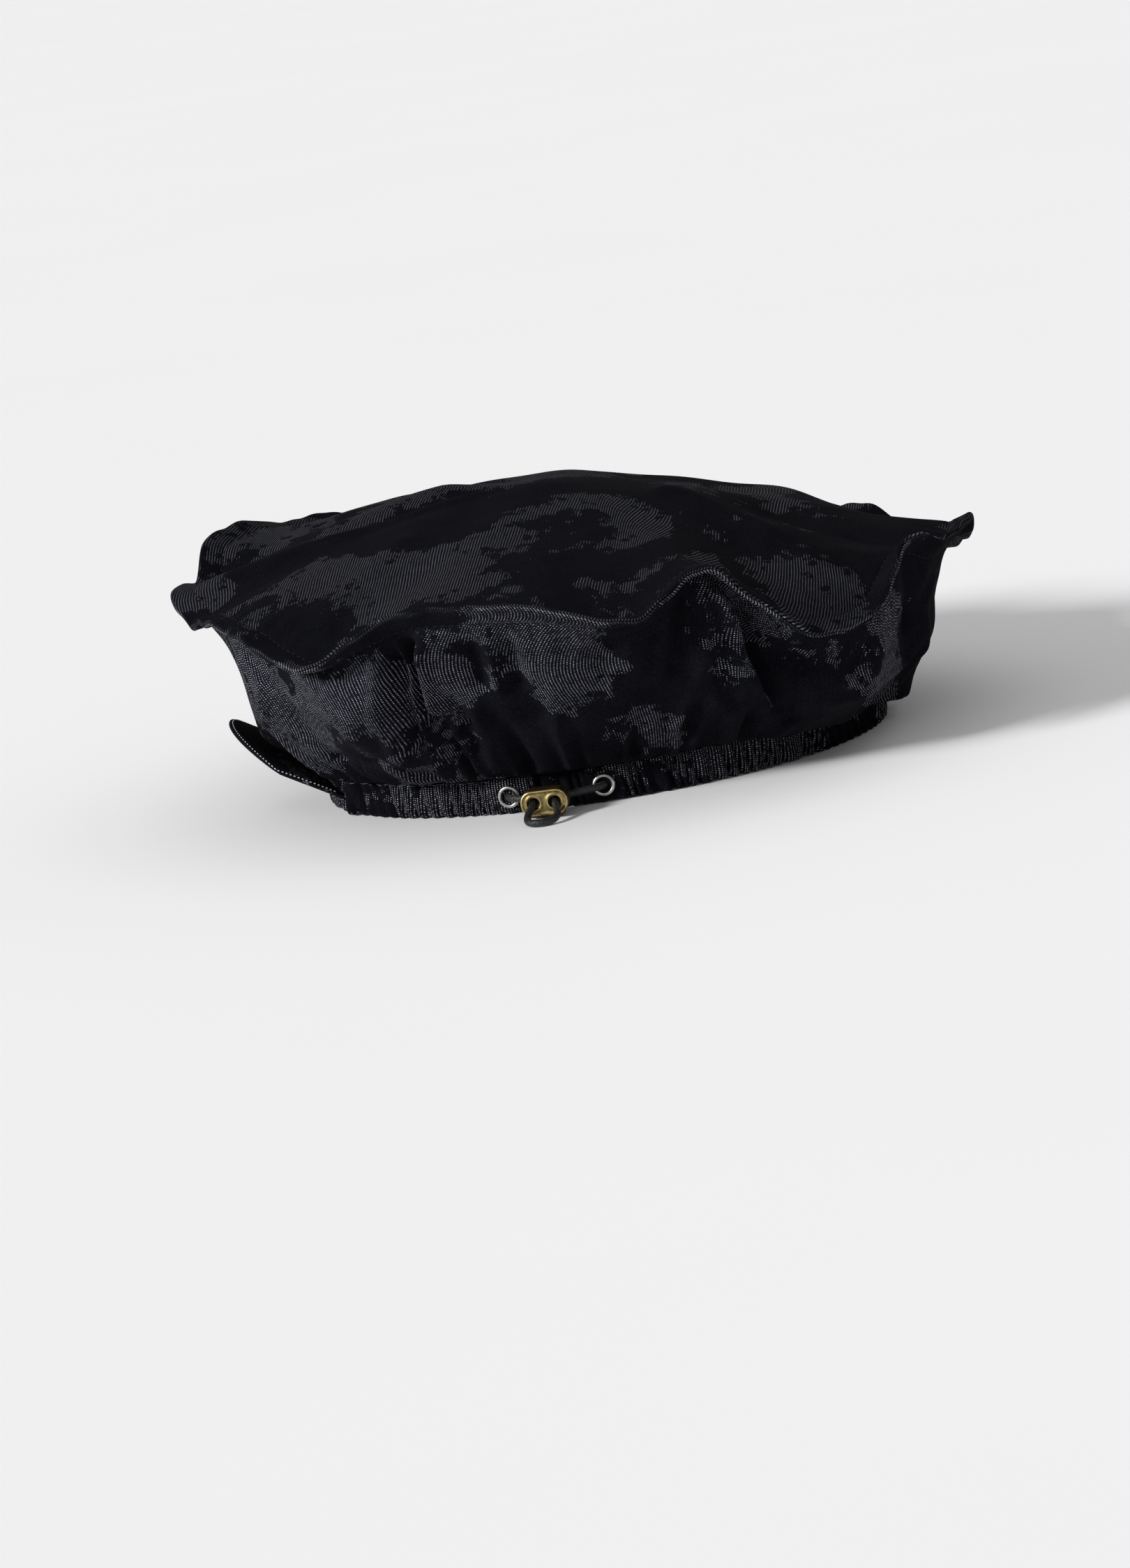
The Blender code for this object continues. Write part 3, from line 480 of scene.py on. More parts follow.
def around(table, column, azimuth):
    """A smooth closed curve through one column of a table, read at each azimuth in degrees.

    Cubic Hermite pieces, whose slope at a row is that of the line between its two neighbours."""
    rows = np.array(table, dtype=float)
    turns = np.concatenate((rows[-2:, 0] - 360, rows[:, 0], rows[:2, 0] + 360))
    values = np.concatenate((rows[-2:, column], rows[:, column], rows[:2, column]))
    slopes = (values[2:] - values[:-2]) / (turns[2:] - turns[:-2])
    turns = turns[1:-1]
    values = values[1:-1]
    angle = np.mod(azimuth, 360)
    left = np.clip(np.searchsorted(turns, angle, side="right") - 1, 0, len(turns) - 2)
    span = turns[left + 1] - turns[left]
    part = (angle - turns[left]) / span
    rise = part ** 2 * (3 - 2 * part)
    leave = part * (1 - part) ** 2 * span
    arrive = part ** 2 * (part - 1) * span
    start = values[left] * (1 - rise) + slopes[left] * leave
    return start + values[left + 1] * rise + slopes[left + 1] * arrive


def through(stations, steps):
    """Catmull-Rom curve through stations[k], read at steps counted in stations."""
    first = 2 * stations[0] - stations[1]
    last = 2 * stations[-1] - stations[-2]
    points = np.concatenate((first[None], stations, last[None]))
    steps = np.asarray(steps, dtype=float)
    left = np.clip(np.floor(steps).astype(int), 0, len(stations) - 2)
    part = (steps - left).reshape((-1,) + (1,) * (stations.ndim - 1))
    before, start, end, after = (points[left + shift] for shift in range(4))
    straight = end - before
    bend = 2 * before - 5 * start + 4 * end - after
    twist = 3 * (start - end) + after - before
    return start + 0.5 * part * (straight + part * (bend + part * twist))


def smooth(value, low, high):
    """0 below low, 1 above high and a smooth step between."""
    part = np.clip((value - low) / (high - low), 0, 1)
    return part ** 2 * (3 - 2 * part)


def ripples(points, size, seed, waves=28):
    """Soft irregular waves of about the given length: a sum of sines in random directions."""
    draw = np.random.default_rng(seed)
    directions = draw.normal(size=(waves, points.shape[-1]))
    directions /= np.linalg.norm(directions, axis=1, keepdims=True)
    lengths = size * draw.uniform(0.65, 1.5, waves)
    starts = draw.uniform(0, 2 * math.pi, waves)
    total = np.zeros(points.shape[:-1])
    for direction, length, start in zip(directions, lengths, starts):
        total += np.sin(points @ direction * (2 * math.pi / length) + start)
    return total / math.sqrt(waves / 2)


def turns_of(columns):
    """Azimuths in degrees of a number of columns all round, closer together on the lock's side.

    Even steps plus one sine wave a turn, which slows them down there and speeds them up behind."""
    even = np.arange(columns) / columns
    return 360 * (even - CLOSER_ON_LOCK_SIDE / (2 * math.pi) * (np.cos(2 * math.pi * even) - 1))


def band_radius(azimuth):
    """Distance from the axis to the band's oval, at each azimuth in degrees."""
    angle = np.radians(azimuth)
    across = np.hypot(BAND_HALF_WIDTH * np.cos(angle), BAND_HALF_LENGTH * np.sin(angle))
    return BAND_HALF_LENGTH * BAND_HALF_WIDTH / across


def upright(radius, height, azimuth):
    """Points at a radius and a height on each azimuth in degrees."""
    angle = np.radians(azimuth)
    x = radius * np.cos(angle)
    return np.stack((x, radius * np.sin(angle), height + 0 * x), axis=-1)


def ring_waves(azimuth, low, high, seed):
    """Irregular waves round the hat: a sum of sines, each with a whole number of waves."""
    draw = np.random.default_rng(seed)
    counts = np.arange(low, high + 1, max(1, (high - low) // 9))
    starts = draw.uniform(0, 2 * math.pi, len(counts))
    heights = draw.uniform(0.5, 1.0, len(counts))
    angle = np.radians(azimuth)[..., None]
    total = np.sum(heights * np.sin(counts * angle + starts), axis=-1)
    return total / math.sqrt(np.sum(heights ** 2) / 2)


def flange(azimuth, share):
    """Middle of the flange: share 0 is the stitch line and 1 is the outer edge.

    A straight line out from the stitch line at the tilt of its azimuth, and across it small
    waves that grow as the square of the share."""
    tilt = np.radians(around(EDGE, 3, azimuth))
    inward = FLANGE_WIDTH * (1 - share)
    wave = EDGE_WAVE * share ** 2 * ring_waves(azimuth, 34, 74, 5)
    radius = around(EDGE, 1, azimuth) - inward * np.cos(tilt) - wave * np.sin(tilt)
    height = around(EDGE, 2, azimuth) - inward * np.sin(tilt) + wave * np.cos(tilt)
    return upright(radius, height, azimuth)


def crease(x, y, line, width):
    """1 on a line through given points, fading to 0 with the distance from it."""
    away = np.inf
    for (x0, y0), (x1, y1) in zip(line, line[1:]):
        reach = (x1 - x0) ** 2 + (y1 - y0) ** 2
        along = np.clip(((x - x0) * (x1 - x0) + (y - y0) * (y1 - y0)) / reach, 0, 1)
        away = np.minimum(away, np.hypot(x - x0 - along * (x1 - x0), y - y0 - along * (y1 - y0)))
    return np.exp(-(away / width) ** 2)


def crease_height(x, y):
    """Height that the soft creases add to the top panel at a point."""
    return sum(height * crease(x, y, line, width) for width, height, line in CREASES)


def dome_height(x, y):
    """A cone with a rounded tip that leans forward, the top panel without its waves."""
    slope = np.sqrt(x ** 2 + y ** 2 + DOME_ROUND ** 2) - DOME_ROUND
    return CROWN_HEIGHT - DOME_SLOPE * slope + DOME_TILT * x


def beside_stitches(away):
    """0 on a stitch line, 1 at the puckers' reach from it, and fading to 0 further away."""
    return away / PUCKER_REACH * np.exp(0.5 - 0.5 * (away / PUCKER_REACH) ** 2)


def top_panel(azimuth, ring):
    """Top panel: ring 0 is its middle and 1 is the stitch line, whose waves fade inwards.

    The dome, the waves of the stitch line times a power of the ring, the creases, ripples that
    fade to the stitch line, and puckers that fade away from it."""
    stitch = flange(azimuth, 0)
    wave = stitch[..., 2] - dome_height(stitch[..., 0], stitch[..., 1])
    x = stitch[..., 0] * ring
    y = stitch[..., 1] * ring
    flat = np.stack((x, y), axis=-1)
    inside = 1 - ring ** CREASE_REACH
    creases = (crease_height(x, y) + TOP_RIPPLE * ripples(flat, TOP_RIPPLE_SIZE, 11)) * inside
    away = np.hypot(stitch[..., 0], stitch[..., 1]) * (1 - ring)
    puckers = PUCKER_HEIGHT * ring_waves(azimuth, 52, 108, 3) * beside_stitches(away)
    height = dome_height(x, y) + wave * ring ** WAVE_REACH + creases + puckers
    return np.stack((x, y, height), axis=-1)


def fold_depth(azimuth, share):
    """How far the folds push the side panel out, from 0 at the band to 1 at the flange."""
    total = 0 * azimuth * share
    for low, high, narrow, wide, depth, start, end in FOLDS:
        centre = low + (high - low) * share
        width = narrow + (wide - narrow) * share
        away = (np.mod(azimuth - centre + 180, 360) - 180) / width
        rise = np.clip((share - start + FOLD_BLEND) / (2 * FOLD_BLEND), 0, 1)
        fall = np.clip((end + FOLD_BLEND - share) / (2 * FOLD_BLEND), 0, 1)
        total = total + depth * np.exp(-away ** 2) * rise * fall
    return total


def side_crease_height(azimuth, share):
    """How far the fine creases push the side panel out, each a line on the cloth laid flat."""
    total = 0 * azimuth * share
    for width, height, line in SIDE_CREASES:
        first = line[0][0]
        across = np.radians(np.mod(azimuth - first + 180, 360) - 180) * SIDE_RADIUS
        flat = [(math.radians(turn - first) * SIDE_RADIUS, up * SIDE_LENGTH) for turn, up in line]
        total = total + height * crease(across, share * SIDE_LENGTH, flat, width)
    return total


def pleat_turns(azimuth):
    """Pleats counted round the band: even pleats whose widths drift up and down."""
    girth = 2 * math.pi * math.sqrt((BAND_HALF_LENGTH ** 2 + BAND_HALF_WIDTH ** 2) / 2)
    count = round(girth / PLEAT_PITCH)
    return count * azimuth / 360 + PLEAT_DRIFT * ring_waves(azimuth, 5, 32, 21)


def plain_by_eyelets(azimuth):
    """0 beside an eyelet, where the cloth is kept flat, and 1 away from both."""
    away = np.min([np.abs(azimuth - place) for _, place in EYELETS], axis=0)
    return smooth(away, PLAIN_BY_EYELET, PLAIN_BY_EYELET + PLEATS_START_OVER)


def side_panel(azimuth, share):
    """Side panel from the seam on the band up to the flange's stitch line, without fine relief.

    A Catmull-Rom curve through seven stations at each azimuth, pushed out by the folds."""
    band = band_radius(azimuth)
    seam_height = BAND_HEIGHT + GAP + CLOTH + GAP / 2
    sizes = [around(SECTIONS, column, azimuth) for column in range(1, 9)]
    stations = np.stack((
        upright(band - SEAM_INSET, seam_height, azimuth),
        upright(band + LIP_OUT, seam_height + LIP_RISE, azimuth),
        upright(band + sizes[0], sizes[1], azimuth),
        *(upright(sizes[k], sizes[k + 1], azimuth) for k in (2, 4, 6)),
        flange(azimuth, 0),
    ))
    grid = through(stations, share * (len(stations) - 1))
    share = share[:, None]
    start = np.clip((share - FOLDS_START) / FOLDS_START_OVER, 0, 1)
    end = np.clip((1 - share) / FOLDS_END_OVER, 0, 1)
    push = fold_depth(azimuth[None], share) * start * end
    return grid + push[..., None] * upright(1.0, 0.0, azimuth)


def side_relief(azimuth, share, grid):
    """Outward steps that crease, ripple, gather and pucker both faces of the side panel.

    The gathers run up from the band's pleats and fade by the middle; the puckers lie along the
    flange's stitches; all of it fades to nothing at both seams."""
    share = share[:, None]
    turn = azimuth[None]
    pleat = pleat_turns(turn)
    gathers = np.sin(math.pi * pleat) + 0.6 * np.sin(0.47 * math.pi * pleat + 1)
    gathers = gathers * GATHER_DEPTH * smooth(share, *GATHERS_GROW)
    gathers = gathers * (1 - smooth(share, *GATHERS_FADE))
    wrinkles = SIDE_RIPPLE * ripples(grid * (1, 1, 0.45), SIDE_RIPPLE_SIZE, 17)
    wrinkles = (wrinkles + side_crease_height(turn, share)) * smooth(share, *WRINKLES_GROW)
    near_stitch = beside_stitches((1 - share) * SIDE_LENGTH)
    puckers = SIDE_PUCKERS_MORE * PUCKER_HEIGHT * ring_waves(turn, 48, 96, 7) * near_stitch
    push = (gathers + wrinkles) * smooth(1 - share, 0, RELIEF_FADES_OVER) + puckers
    return push[..., None] * upright(1.0, 0.0, azimuth)


def normals(grid):
    """Unit normals of a grid of points, closed along its second index."""
    down = np.gradient(grid, axis=0)
    across = np.roll(grid, -1, axis=1) - np.roll(grid, 1, axis=1)
    return unit(np.cross(across, down))


def unit(vectors):
    """Vectors of length 1 in the same directions."""
    return vectors / np.maximum(np.linalg.norm(vectors, axis=-1, keepdims=True), 1e-12)


def travelled(line):
    """Length of a line of points from its first point to each point."""
    return np.concatenate(([0], np.cumsum(np.linalg.norm(np.diff(line, axis=0), axis=-1))))


def read_along(line, travel, at):
    """Points of a line, or values at its points, read at given lengths along it."""
    return np.stack([np.interp(at, travel, line[:, k]) for k in range(3)], axis=-1)


def lengths_along(grid):
    """Mean length from the first row to each row, measured down the columns of a grid."""
    steps = np.linalg.norm(np.diff(grid, axis=0), axis=-1).mean(axis=1)
    return np.concatenate(([0], np.cumsum(steps)))


def lengths_on_faces(outer, inner):
    """The same for the outer face's rows, and for the inner face's, which run back again."""
    return np.concatenate((lengths_along(outer), lengths_along(inner[::-1])[::-1]))


def widths_along(grid, middle):
    """Cloth's width from a middle column to each column, and once more to the first, in each row.

    Steps along a row, averaged with those of the rows near it, summed and brought to the same
    whole number of ribs in every row."""
    steps = np.linalg.norm(np.roll(grid, -1, axis=1) - grid, axis=-1)
    near = np.exp(-0.5 * (np.arange(-SMOOTH_ROWS, SMOOTH_ROWS + 1) / (SMOOTH_ROWS / 2)) ** 2)
    rows = np.pad(steps, ((SMOOTH_ROWS, SMOOTH_ROWS), (0, 0)), mode="edge")
    steps = sum(weight * rows[k:k + len(steps)] for k, weight in enumerate(near / near.sum()))
    width = np.concatenate((np.zeros((len(grid), 1)), np.cumsum(steps, axis=1)), axis=1)
    girth = round(2 * math.pi * SIDE_RADIUS / RIB_PITCH) * RIB_PITCH
    return (width - width[:, middle:middle + 1]) / width[:, -1:] * girth


def wrapped(grid):
    """A grid with its first column once more at its end."""
    return np.concatenate((grid, grid[:, :1]), axis=1)


def volume(points, quads):
    """Volume inside quads, positive where they face outwards: the sum over their triangles."""
    a, b, c, d = (points[quads[:, k]] for k in range(4))
    return np.sum(a * (np.cross(b, c) + np.cross(c, d))) / 6


def grid_quads(rows, columns, closed_rows):
    """Corners of the quads over a grid that is closed along its columns, and maybe its rows.

    The second array counts the same corners on a grid with one more column, for readings that
    don't start again where the grid closes."""
    row = np.arange(rows if closed_rows else rows - 1)[:, None]
    column = np.arange(columns)[None]
    corners = [(row + down, column + right) for down, right in ((0, 0), (0, 1), (1, 1), (1, 0))]
    points = [(r % rows) * columns + c % columns for r, c in corners]
    readings = [(r % rows) * (columns + 1) + c for r, c in corners]
    return np.stack(points, -1).reshape(-1, 4), np.stack(readings, -1).reshape(-1, 4)


def end_fans(rows, width, columns):
    """Triangles from a grid's first and last row to the two points that come after the grid.

    Width is the number of points in a row: as many as there are columns where a row closes on
    itself, and one more where its last point is counted apart from its first."""
    ring = np.arange(columns)
    after = (ring + 1) % width
    last = (rows - 1) * width
    tip = np.full(columns, rows * width)
    return np.concatenate((
        np.stack((tip, after, ring), axis=-1),
        np.stack((last + ring, last + after, tip + 1), axis=-1),
    ))


def add_mesh(name, points, quads, fans, finish, replaced=()):
    """One smooth piece from quads and triangles, moved from the band's frame to the solids'."""
    corners = np.concatenate((quads.ravel(), fans.ravel()))
    sizes = np.concatenate((np.full(len(quads), 4), np.full(len(fans), 3)))
    mesh = bpy.data.meshes.new(name)
    mesh.vertices.add(len(points))
    mesh.vertices.foreach_set("co", (points + CENTRE).astype(np.float32).ravel())
    mesh.loops.add(len(corners))
    mesh.loops.foreach_set("vertex_index", corners.astype(np.int32))
    mesh.polygons.add(len(sizes))
    mesh.polygons.foreach_set("loop_start", (np.cumsum(sizes) - sizes).astype(np.int32))
    mesh.update(calc_edges=True)
    mesh.shade_smooth()
    mesh.materials.append(finish)
    piece = bpy.data.objects.new(name, mesh)
    bpy.context.scene.collection.objects.link(piece)
    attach(piece, "root")
    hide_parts(*replaced)
    return piece


def add_uv(piece, readings):
    """Cloth coordinates in metres at each corner of the faces."""
    layer = piece.data.uv_layers.new(name="cloth")
    layer.data.foreach_set("uv", readings.astype(np.float32).ravel())


def add_mark(piece, name, values):
    """A named value at each point, which a material can read."""
    attribute = piece.data.attributes.new(name, "FLOAT", "POINT")
    attribute.data.foreach_set("value", values.astype(np.float32).ravel())


def add_loop_grid(name, grid, uv, marks, finish, replaced=()):
    """A piece over a grid that is closed along both its rows and its columns."""
    rows, columns = grid.shape[:2]
    points = grid.reshape(-1, 3)
    quads, readings = grid_quads(rows, columns, True)
    turn = -1 if volume(points, quads) < 0 else 1
    piece = add_mesh(name, points, quads[:, ::turn], np.zeros((0, 3), int), finish, replaced)
    add_uv(piece, uv.reshape(-1, 2)[readings[:, ::turn]])
    for mark, values in marks.items():
        add_mark(piece, mark, np.broadcast_to(values, (rows, columns)))
    return piece


def add_disc_grid(name, grid, uv, marks, finish, replaced=()):
    """A piece over a grid closed along its columns, with a point in the middle of each end row."""
    rows, columns = grid.shape[:2]
    tips = np.stack((grid[0].mean(axis=0), grid[-1].mean(axis=0)))
    points = np.concatenate((grid.reshape(-1, 3), tips))
    quads, readings = grid_quads(rows, columns, False)
    fans = end_fans(rows, columns, columns)
    turn = -1 if volume(points, quads) < 0 else 1
    piece = add_mesh(name, points, quads[:, ::turn], fans[:, ::turn], finish, replaced)
    uv_tips = np.stack((uv[0].mean(axis=0), uv[-1].mean(axis=0)))
    flat = np.concatenate((uv.reshape(-1, 2), uv_tips))
    fan_readings = end_fans(rows, columns + 1, columns)
    corners = np.concatenate((readings[:, ::turn].ravel(), fan_readings[:, ::turn].ravel()))
    add_uv(piece, flat[corners])
    for mark, values in marks.items():
        spread = np.broadcast_to(values, (rows, columns))
        add_mark(piece, mark, np.concatenate((spread.ravel(), spread[0, :1], spread[-1, :1])))
    return piece


def flange_rows():
    """Shares of the flange from stitch line to edge, and how far the outer face stands off.

    The face swells from the pinched stitch line to the radius of the edge, then follows a
    quarter circle down to the edge."""
    straight = np.linspace(0, 1 - EDGE_ROLL / FLANGE_WIDTH, FLANGE_ROWS + 1)[1:]
    swell = smooth(straight, 0, FLANGE_SWELLS_OVER)
    lift = CLOTH + (EDGE_ROLL - CLOTH) * swell
    turn = np.linspace(0, math.pi / 2, LIP_ROWS + 1)[1:]
    rolled = 1 - EDGE_ROLL / FLANGE_WIDTH * (1 - np.sin(turn))
    return np.concatenate((straight, rolled)), np.concatenate((lift, EDGE_ROLL * np.cos(turn)))


def pinch(away):
    """How far the stitches pull the face in at a distance from their line."""
    return STITCH_PINCH * np.exp(-(away / PINCH_WIDTH) ** 2)


def cloth_faces(panel, brim, panel_away, shares, lift, side, panel_in, brim_in):
    """Outer and inner face of one panel with its layer of the flange, as rows of one grid.

    Each face is the mid surface pushed along its normals; the stitch line is pinched."""
    outer = np.concatenate((panel, brim))
    stand = np.concatenate((np.full(len(panel), CLOTH), lift))
    away = np.concatenate((panel_away, shares * FLANGE_WIDTH))
    push = INSIDE + stand - pinch(away)
    push[-LIP_ROWS:] = INSIDE + lift[-LIP_ROWS:]
    outer = outer + side * normals(outer) * push[:, None, None]
    inner = np.concatenate((panel_in, brim_in))
    inner = inner + side * normals(inner) * INSIDE
    return outer, inner[::-1]


def crown_marks(panel, shares, inner):
    """Marks of a crown panel's rows: its wrong side, and the fold at the flange's edge."""
    outside = len(panel) + len(shares)
    wrong_side = np.concatenate((np.zeros(outside), np.ones(len(inner))))
    fold = np.concatenate((np.zeros(len(panel)), smooth(shares, 0.95, 1.0), np.zeros(len(inner))))
    return {"wrong_side": wrong_side[:, None], "fold": fold[:, None]}


def add_crown_top(finish):
    """Top panel with its layer of the flange, from the middle out, round the edge and back."""
    azimuth = turns_of(CROWN_COLUMNS)
    rings = 1 - (1 - np.linspace(0, 1, TOP_ROWS + 1)[1:]) ** TOP_ROWS_CLOSER
    shares, lift = flange_rows()
    panel = top_panel(azimuth[None], rings[:, None])
    brim = flange(azimuth[None], shares[:, None])
    rings_in = np.linspace(0, 1, LINING_ROWS + 1)[1:]
    panel_in = top_panel(azimuth[None], rings_in[:, None])
    brim_in = flange(azimuth[None], np.linspace(0, 1, BRIM_LINING_ROWS + 2)[1:-1, None])
    reach = EDGE[0][1]
    away = (1 - rings) * reach
    outer, inner = cloth_faces(panel, brim, away, shares, lift, -1, panel_in, brim_in)
    grid = np.concatenate((outer, inner))
    out = lengths_on_faces(outer, inner)[:, None] + rings[0] * reach
    turn = np.radians(azimuth)[None]
    uv = wrapped(np.stack((out * np.cos(turn), out * np.sin(turn)), axis=-1))
    marks = crown_marks(panel, shares, inner)
    add_disc_grid("crown_top_cloth", grid, uv, marks, finish, ("crown_top",))


def add_crown_side(finish):
    """Side panel with its layer of the flange, from the band out, round the edge and back."""
    azimuth = turns_of(CROWN_COLUMNS)
    share = 1 - (1 - np.linspace(0, 1, SIDE_ROWS)) ** SIDE_ROWS_CLOSER
    shares, lift = flange_rows()
    panel = side_panel(azimuth, share)
    brim = flange(azimuth[None], shares[:, None])
    share_in = np.linspace(0, 1, SIDE_LINING_ROWS)
    panel_in = side_panel(azimuth, share_in)
    brim_in = flange(azimuth[None], np.linspace(0, 1, BRIM_LINING_ROWS + 2)[1:-1, None])
    away = (1 - share) * SIDE_LENGTH
    outer, inner = cloth_faces(panel, brim, away, shares, lift, 1, panel_in, brim_in)
    outer[:len(share)] += side_relief(azimuth, share, panel)
    inner[-len(share_in):] += side_relief(azimuth, share_in, panel_in)[::-1]
    grid = np.concatenate((outer, inner))
    up = lengths_on_faces(outer, inner)
    middle = int(np.argmin(np.abs(azimuth - RIBS_UPRIGHT_AT)))
    uv = np.stack(np.broadcast_arrays(widths_along(grid, middle), up[:, None]), axis=-1)
    marks = crown_marks(panel, shares, inner)
    add_loop_grid("crown_side_cloth", grid, uv, marks, finish, ("crown_side",))


def pleat_crest(azimuth):
    """1 on the crest of each pleat of the band and 0 in the sharp valley between two."""
    return np.abs(np.sin(math.pi * pleat_turns(azimuth))) ** PLEAT_SHARPNESS


def band_point(azimuth, angle):
    """A point of the band's surface: a rounded oblong section carried round the oval.

    The section is a circle with its sine and cosine raised to a small power. Its outer side
    steps in by the pleats' depth in their valleys, and its lower edge lifts there."""
    out = np.sign(np.cos(angle)) * np.abs(np.cos(angle)) ** BAND_SQUARENESS
    up = np.sign(np.sin(angle)) * np.abs(np.sin(angle)) ** BAND_SQUARENESS
    uneven = VALLEY_SHARE + VALLEY_VARIES * ring_waves(azimuth, 11, 60, 31)
    valley = (1 - pleat_crest(azimuth + PLEAT_SLANT * up)) * uneven
    full = PLEATS_INSIDE + (1 - PLEATS_INSIDE) * smooth(out, -1, 1)
    depth = PLEAT_DEPTH * valley * plain_by_eyelets(azimuth) * full
    roll = ROLL_HEIGHT * np.exp(-((azimuth - ROLL_AZIMUTH) / ROLL_WIDTH) ** 2) * smooth(out, 0, 1)
    radius = band_radius(azimuth) - BAND_WALL / 2 * (1 - out) - depth + roll
    tooth = HEM_TOOTH * np.sin(np.radians(HEM_TEETH * azimuth)) ** 2
    lift = (HEM_LIFT * np.abs(valley) + tooth) * smooth(-up, 0.3, 1)
    return upright(radius, BAND_HEIGHT / 2 * (1 + up) + lift, azimuth)


def add_band(finish):
    """Ruched band as one closed ring."""
    azimuth = turns_of(BAND_COLUMNS)
    angle = np.arange(BAND_PROFILE) * 2 * math.pi / BAND_PROFILE
    grid = band_point(azimuth[None], angle[:, None])
    closed = wrapped(grid)
    along = travelled(closed[BAND_PROFILE // 8])
    along = along * round(along[-1] / RIB_PITCH) * RIB_PITCH / along[-1]
    uv = np.stack(np.broadcast_arrays(along[None], closed[..., 2]), axis=-1)
    inside = (np.cos(angle) < BAND_WRONG_SIDE).astype(float)[:, None]
    hem = smooth(-np.sin(angle), 0.6, 0.95)[:, None] * (1 - inside)
    marks = {"wrong_side": inside, "fold": hem}
    add_loop_grid("band_cloth", grid, uv, marks, finish, ("band",))


def peak_middle(share, out):
    """Middle surface of the peak: share -1 to 1 across it, out 0 at the band and 1 at its edge."""
    y = PEAK_HALF_WIDTH * share * (1 - PEAK_TAPER * out ** 2)
    root = BAND_HALF_LENGTH * np.sqrt(1 - (y / BAND_HALF_WIDTH) ** 2) + PEAK_ROOT_GAP
    reach = PEAK_LENGTH * np.sqrt(1 - PEAK_CORNER_CUT * np.abs(share) ** 3)
    rise = PEAK_RISE * out ** PEAK_CURL * reach / PEAK_LENGTH
    drop = (PEAK_ROOT_SAG * (1 - out) + PEAK_ARCH * out ** PEAK_ARCH_POWER) * share ** 2
    return np.stack((-root - reach * out, y, PEAK_ROOT_HEIGHT + rise - drop), axis=-1)


def peak_ring(ring, turn):
    """The peak's middle surface on rings round its centre; ring 1 runs along its outline."""
    across = np.cos(turn)
    along = np.sin(turn)
    size = np.maximum(np.abs(across), np.abs(along))
    share = ring * across / size
    out = 0.5 + 0.5 * ring * along / size
    return peak_middle(share, out)


def add_peak(finish):
    """Peak as a padded tongue: two faces, a groove under the topstitching and a round rim."""
    turn = np.arange(PEAK_COLUMNS) * 2 * math.pi / PEAK_COLUMNS
    rings = np.linspace(0, 1 - PEAK_RIM_INSET, PEAK_ROWS + 1)[1:]
    middle = peak_ring(rings[:, None], turn[None])
    normal = -normals(middle)
    groove = np.exp(-((rings - PEAK_STITCH_RING) / PEAK_GROOVE_WIDTH) ** 2)
    half = PEAK_THICK / 2 - PEAK_GROOVE * groove - PEAK_THIN * smooth(rings, 0.5, 1.0)
    half = half[:, None, None]
    edge = middle[-1]
    outward = unit(middle[-1] - middle[-2])
    bend = np.linspace(0, math.pi, 2 * LIP_ROWS + 1)[1:-1, None, None]
    rim = edge + half[-1] * (outward * np.sin(bend) + normal[-1] * np.cos(bend))
    grid = np.concatenate((middle + normal * half, rim, (middle - normal * half)[::-1]))
    uv = wrapped(np.stack((grid[..., 1], grid[..., 2] - grid[..., 0]), axis=-1))
    marks = {"wrong_side": np.zeros((1, 1)), "fold": np.zeros((1, 1))}
    add_disc_grid("peak_cloth", grid, uv, marks, finish, ("peak",))
    return rings, middle, normal, half


def add_stitches(name, places, along, outward, length, finish):
    """Stitches as capsules: circles carried along each stitch, narrower to its rounded ends.

    Every stitch is the same small grid, turned to its own direction; its ends dip into cloth."""
    steps = np.array((-0.97, -0.75, -0.3, 0.3, 0.75, 0.97))
    sides = 6
    turn = np.arange(sides) * 2 * math.pi / sides
    width = STITCH_THICK / 2 * (1 - steps ** 2) ** 0.35
    sink = STITCH_THICK * (0.35 - 0.75 * steps ** 2)
    along = unit(along)
    aside = unit(np.cross(along, outward))
    outward = np.cross(aside, along)
    across = aside[:, None, None] * np.cos(turn)[:, None]
    upward = outward[:, None, None] * np.sin(turn)[:, None]
    spine = along[:, None] * (steps * length / 2)[:, None] + outward[:, None] * sink[:, None]
    rings = (places[:, None] + spine)[:, :, None] + width[:, None, None] * (across + upward)
    tips = places[:, None] + spine[:, (0, -1)]
    points = np.concatenate((rings.reshape(len(places), -1, 3), tips), axis=1)
    quads, _ = grid_quads(len(steps), sides, False)
    fans = end_fans(len(steps), sides, sides)
    order = -1 if volume(points[0], quads) < 0 else 1
    start = (np.arange(len(places)) * points.shape[1])[:, None, None]
    quads = (quads[None, :, ::order] + start).reshape(-1, 4)
    fans = (fans[None, :, ::order] + start).reshape(-1, 3)
    add_mesh(name, points.reshape(-1, 3), quads, fans, finish)


def spaced(line, normal, pitch, length, closed=True):
    """Points a pitch apart on a line, with the direction along it, the normal and the length."""
    if closed:
        line = np.concatenate((line, line[:1]))
        normal = np.concatenate((normal, normal[:1]))
    travel = travelled(line)
    count = round(travel[-1] / pitch)
    at = (np.arange(count) + 0.5) * travel[-1] / count
    before = read_along(line, travel, at - length / 2)
    after = read_along(line, travel, at + length / 2)
    places = read_along(line, travel, at)
    return places, after - before, read_along(normal, travel, at), length


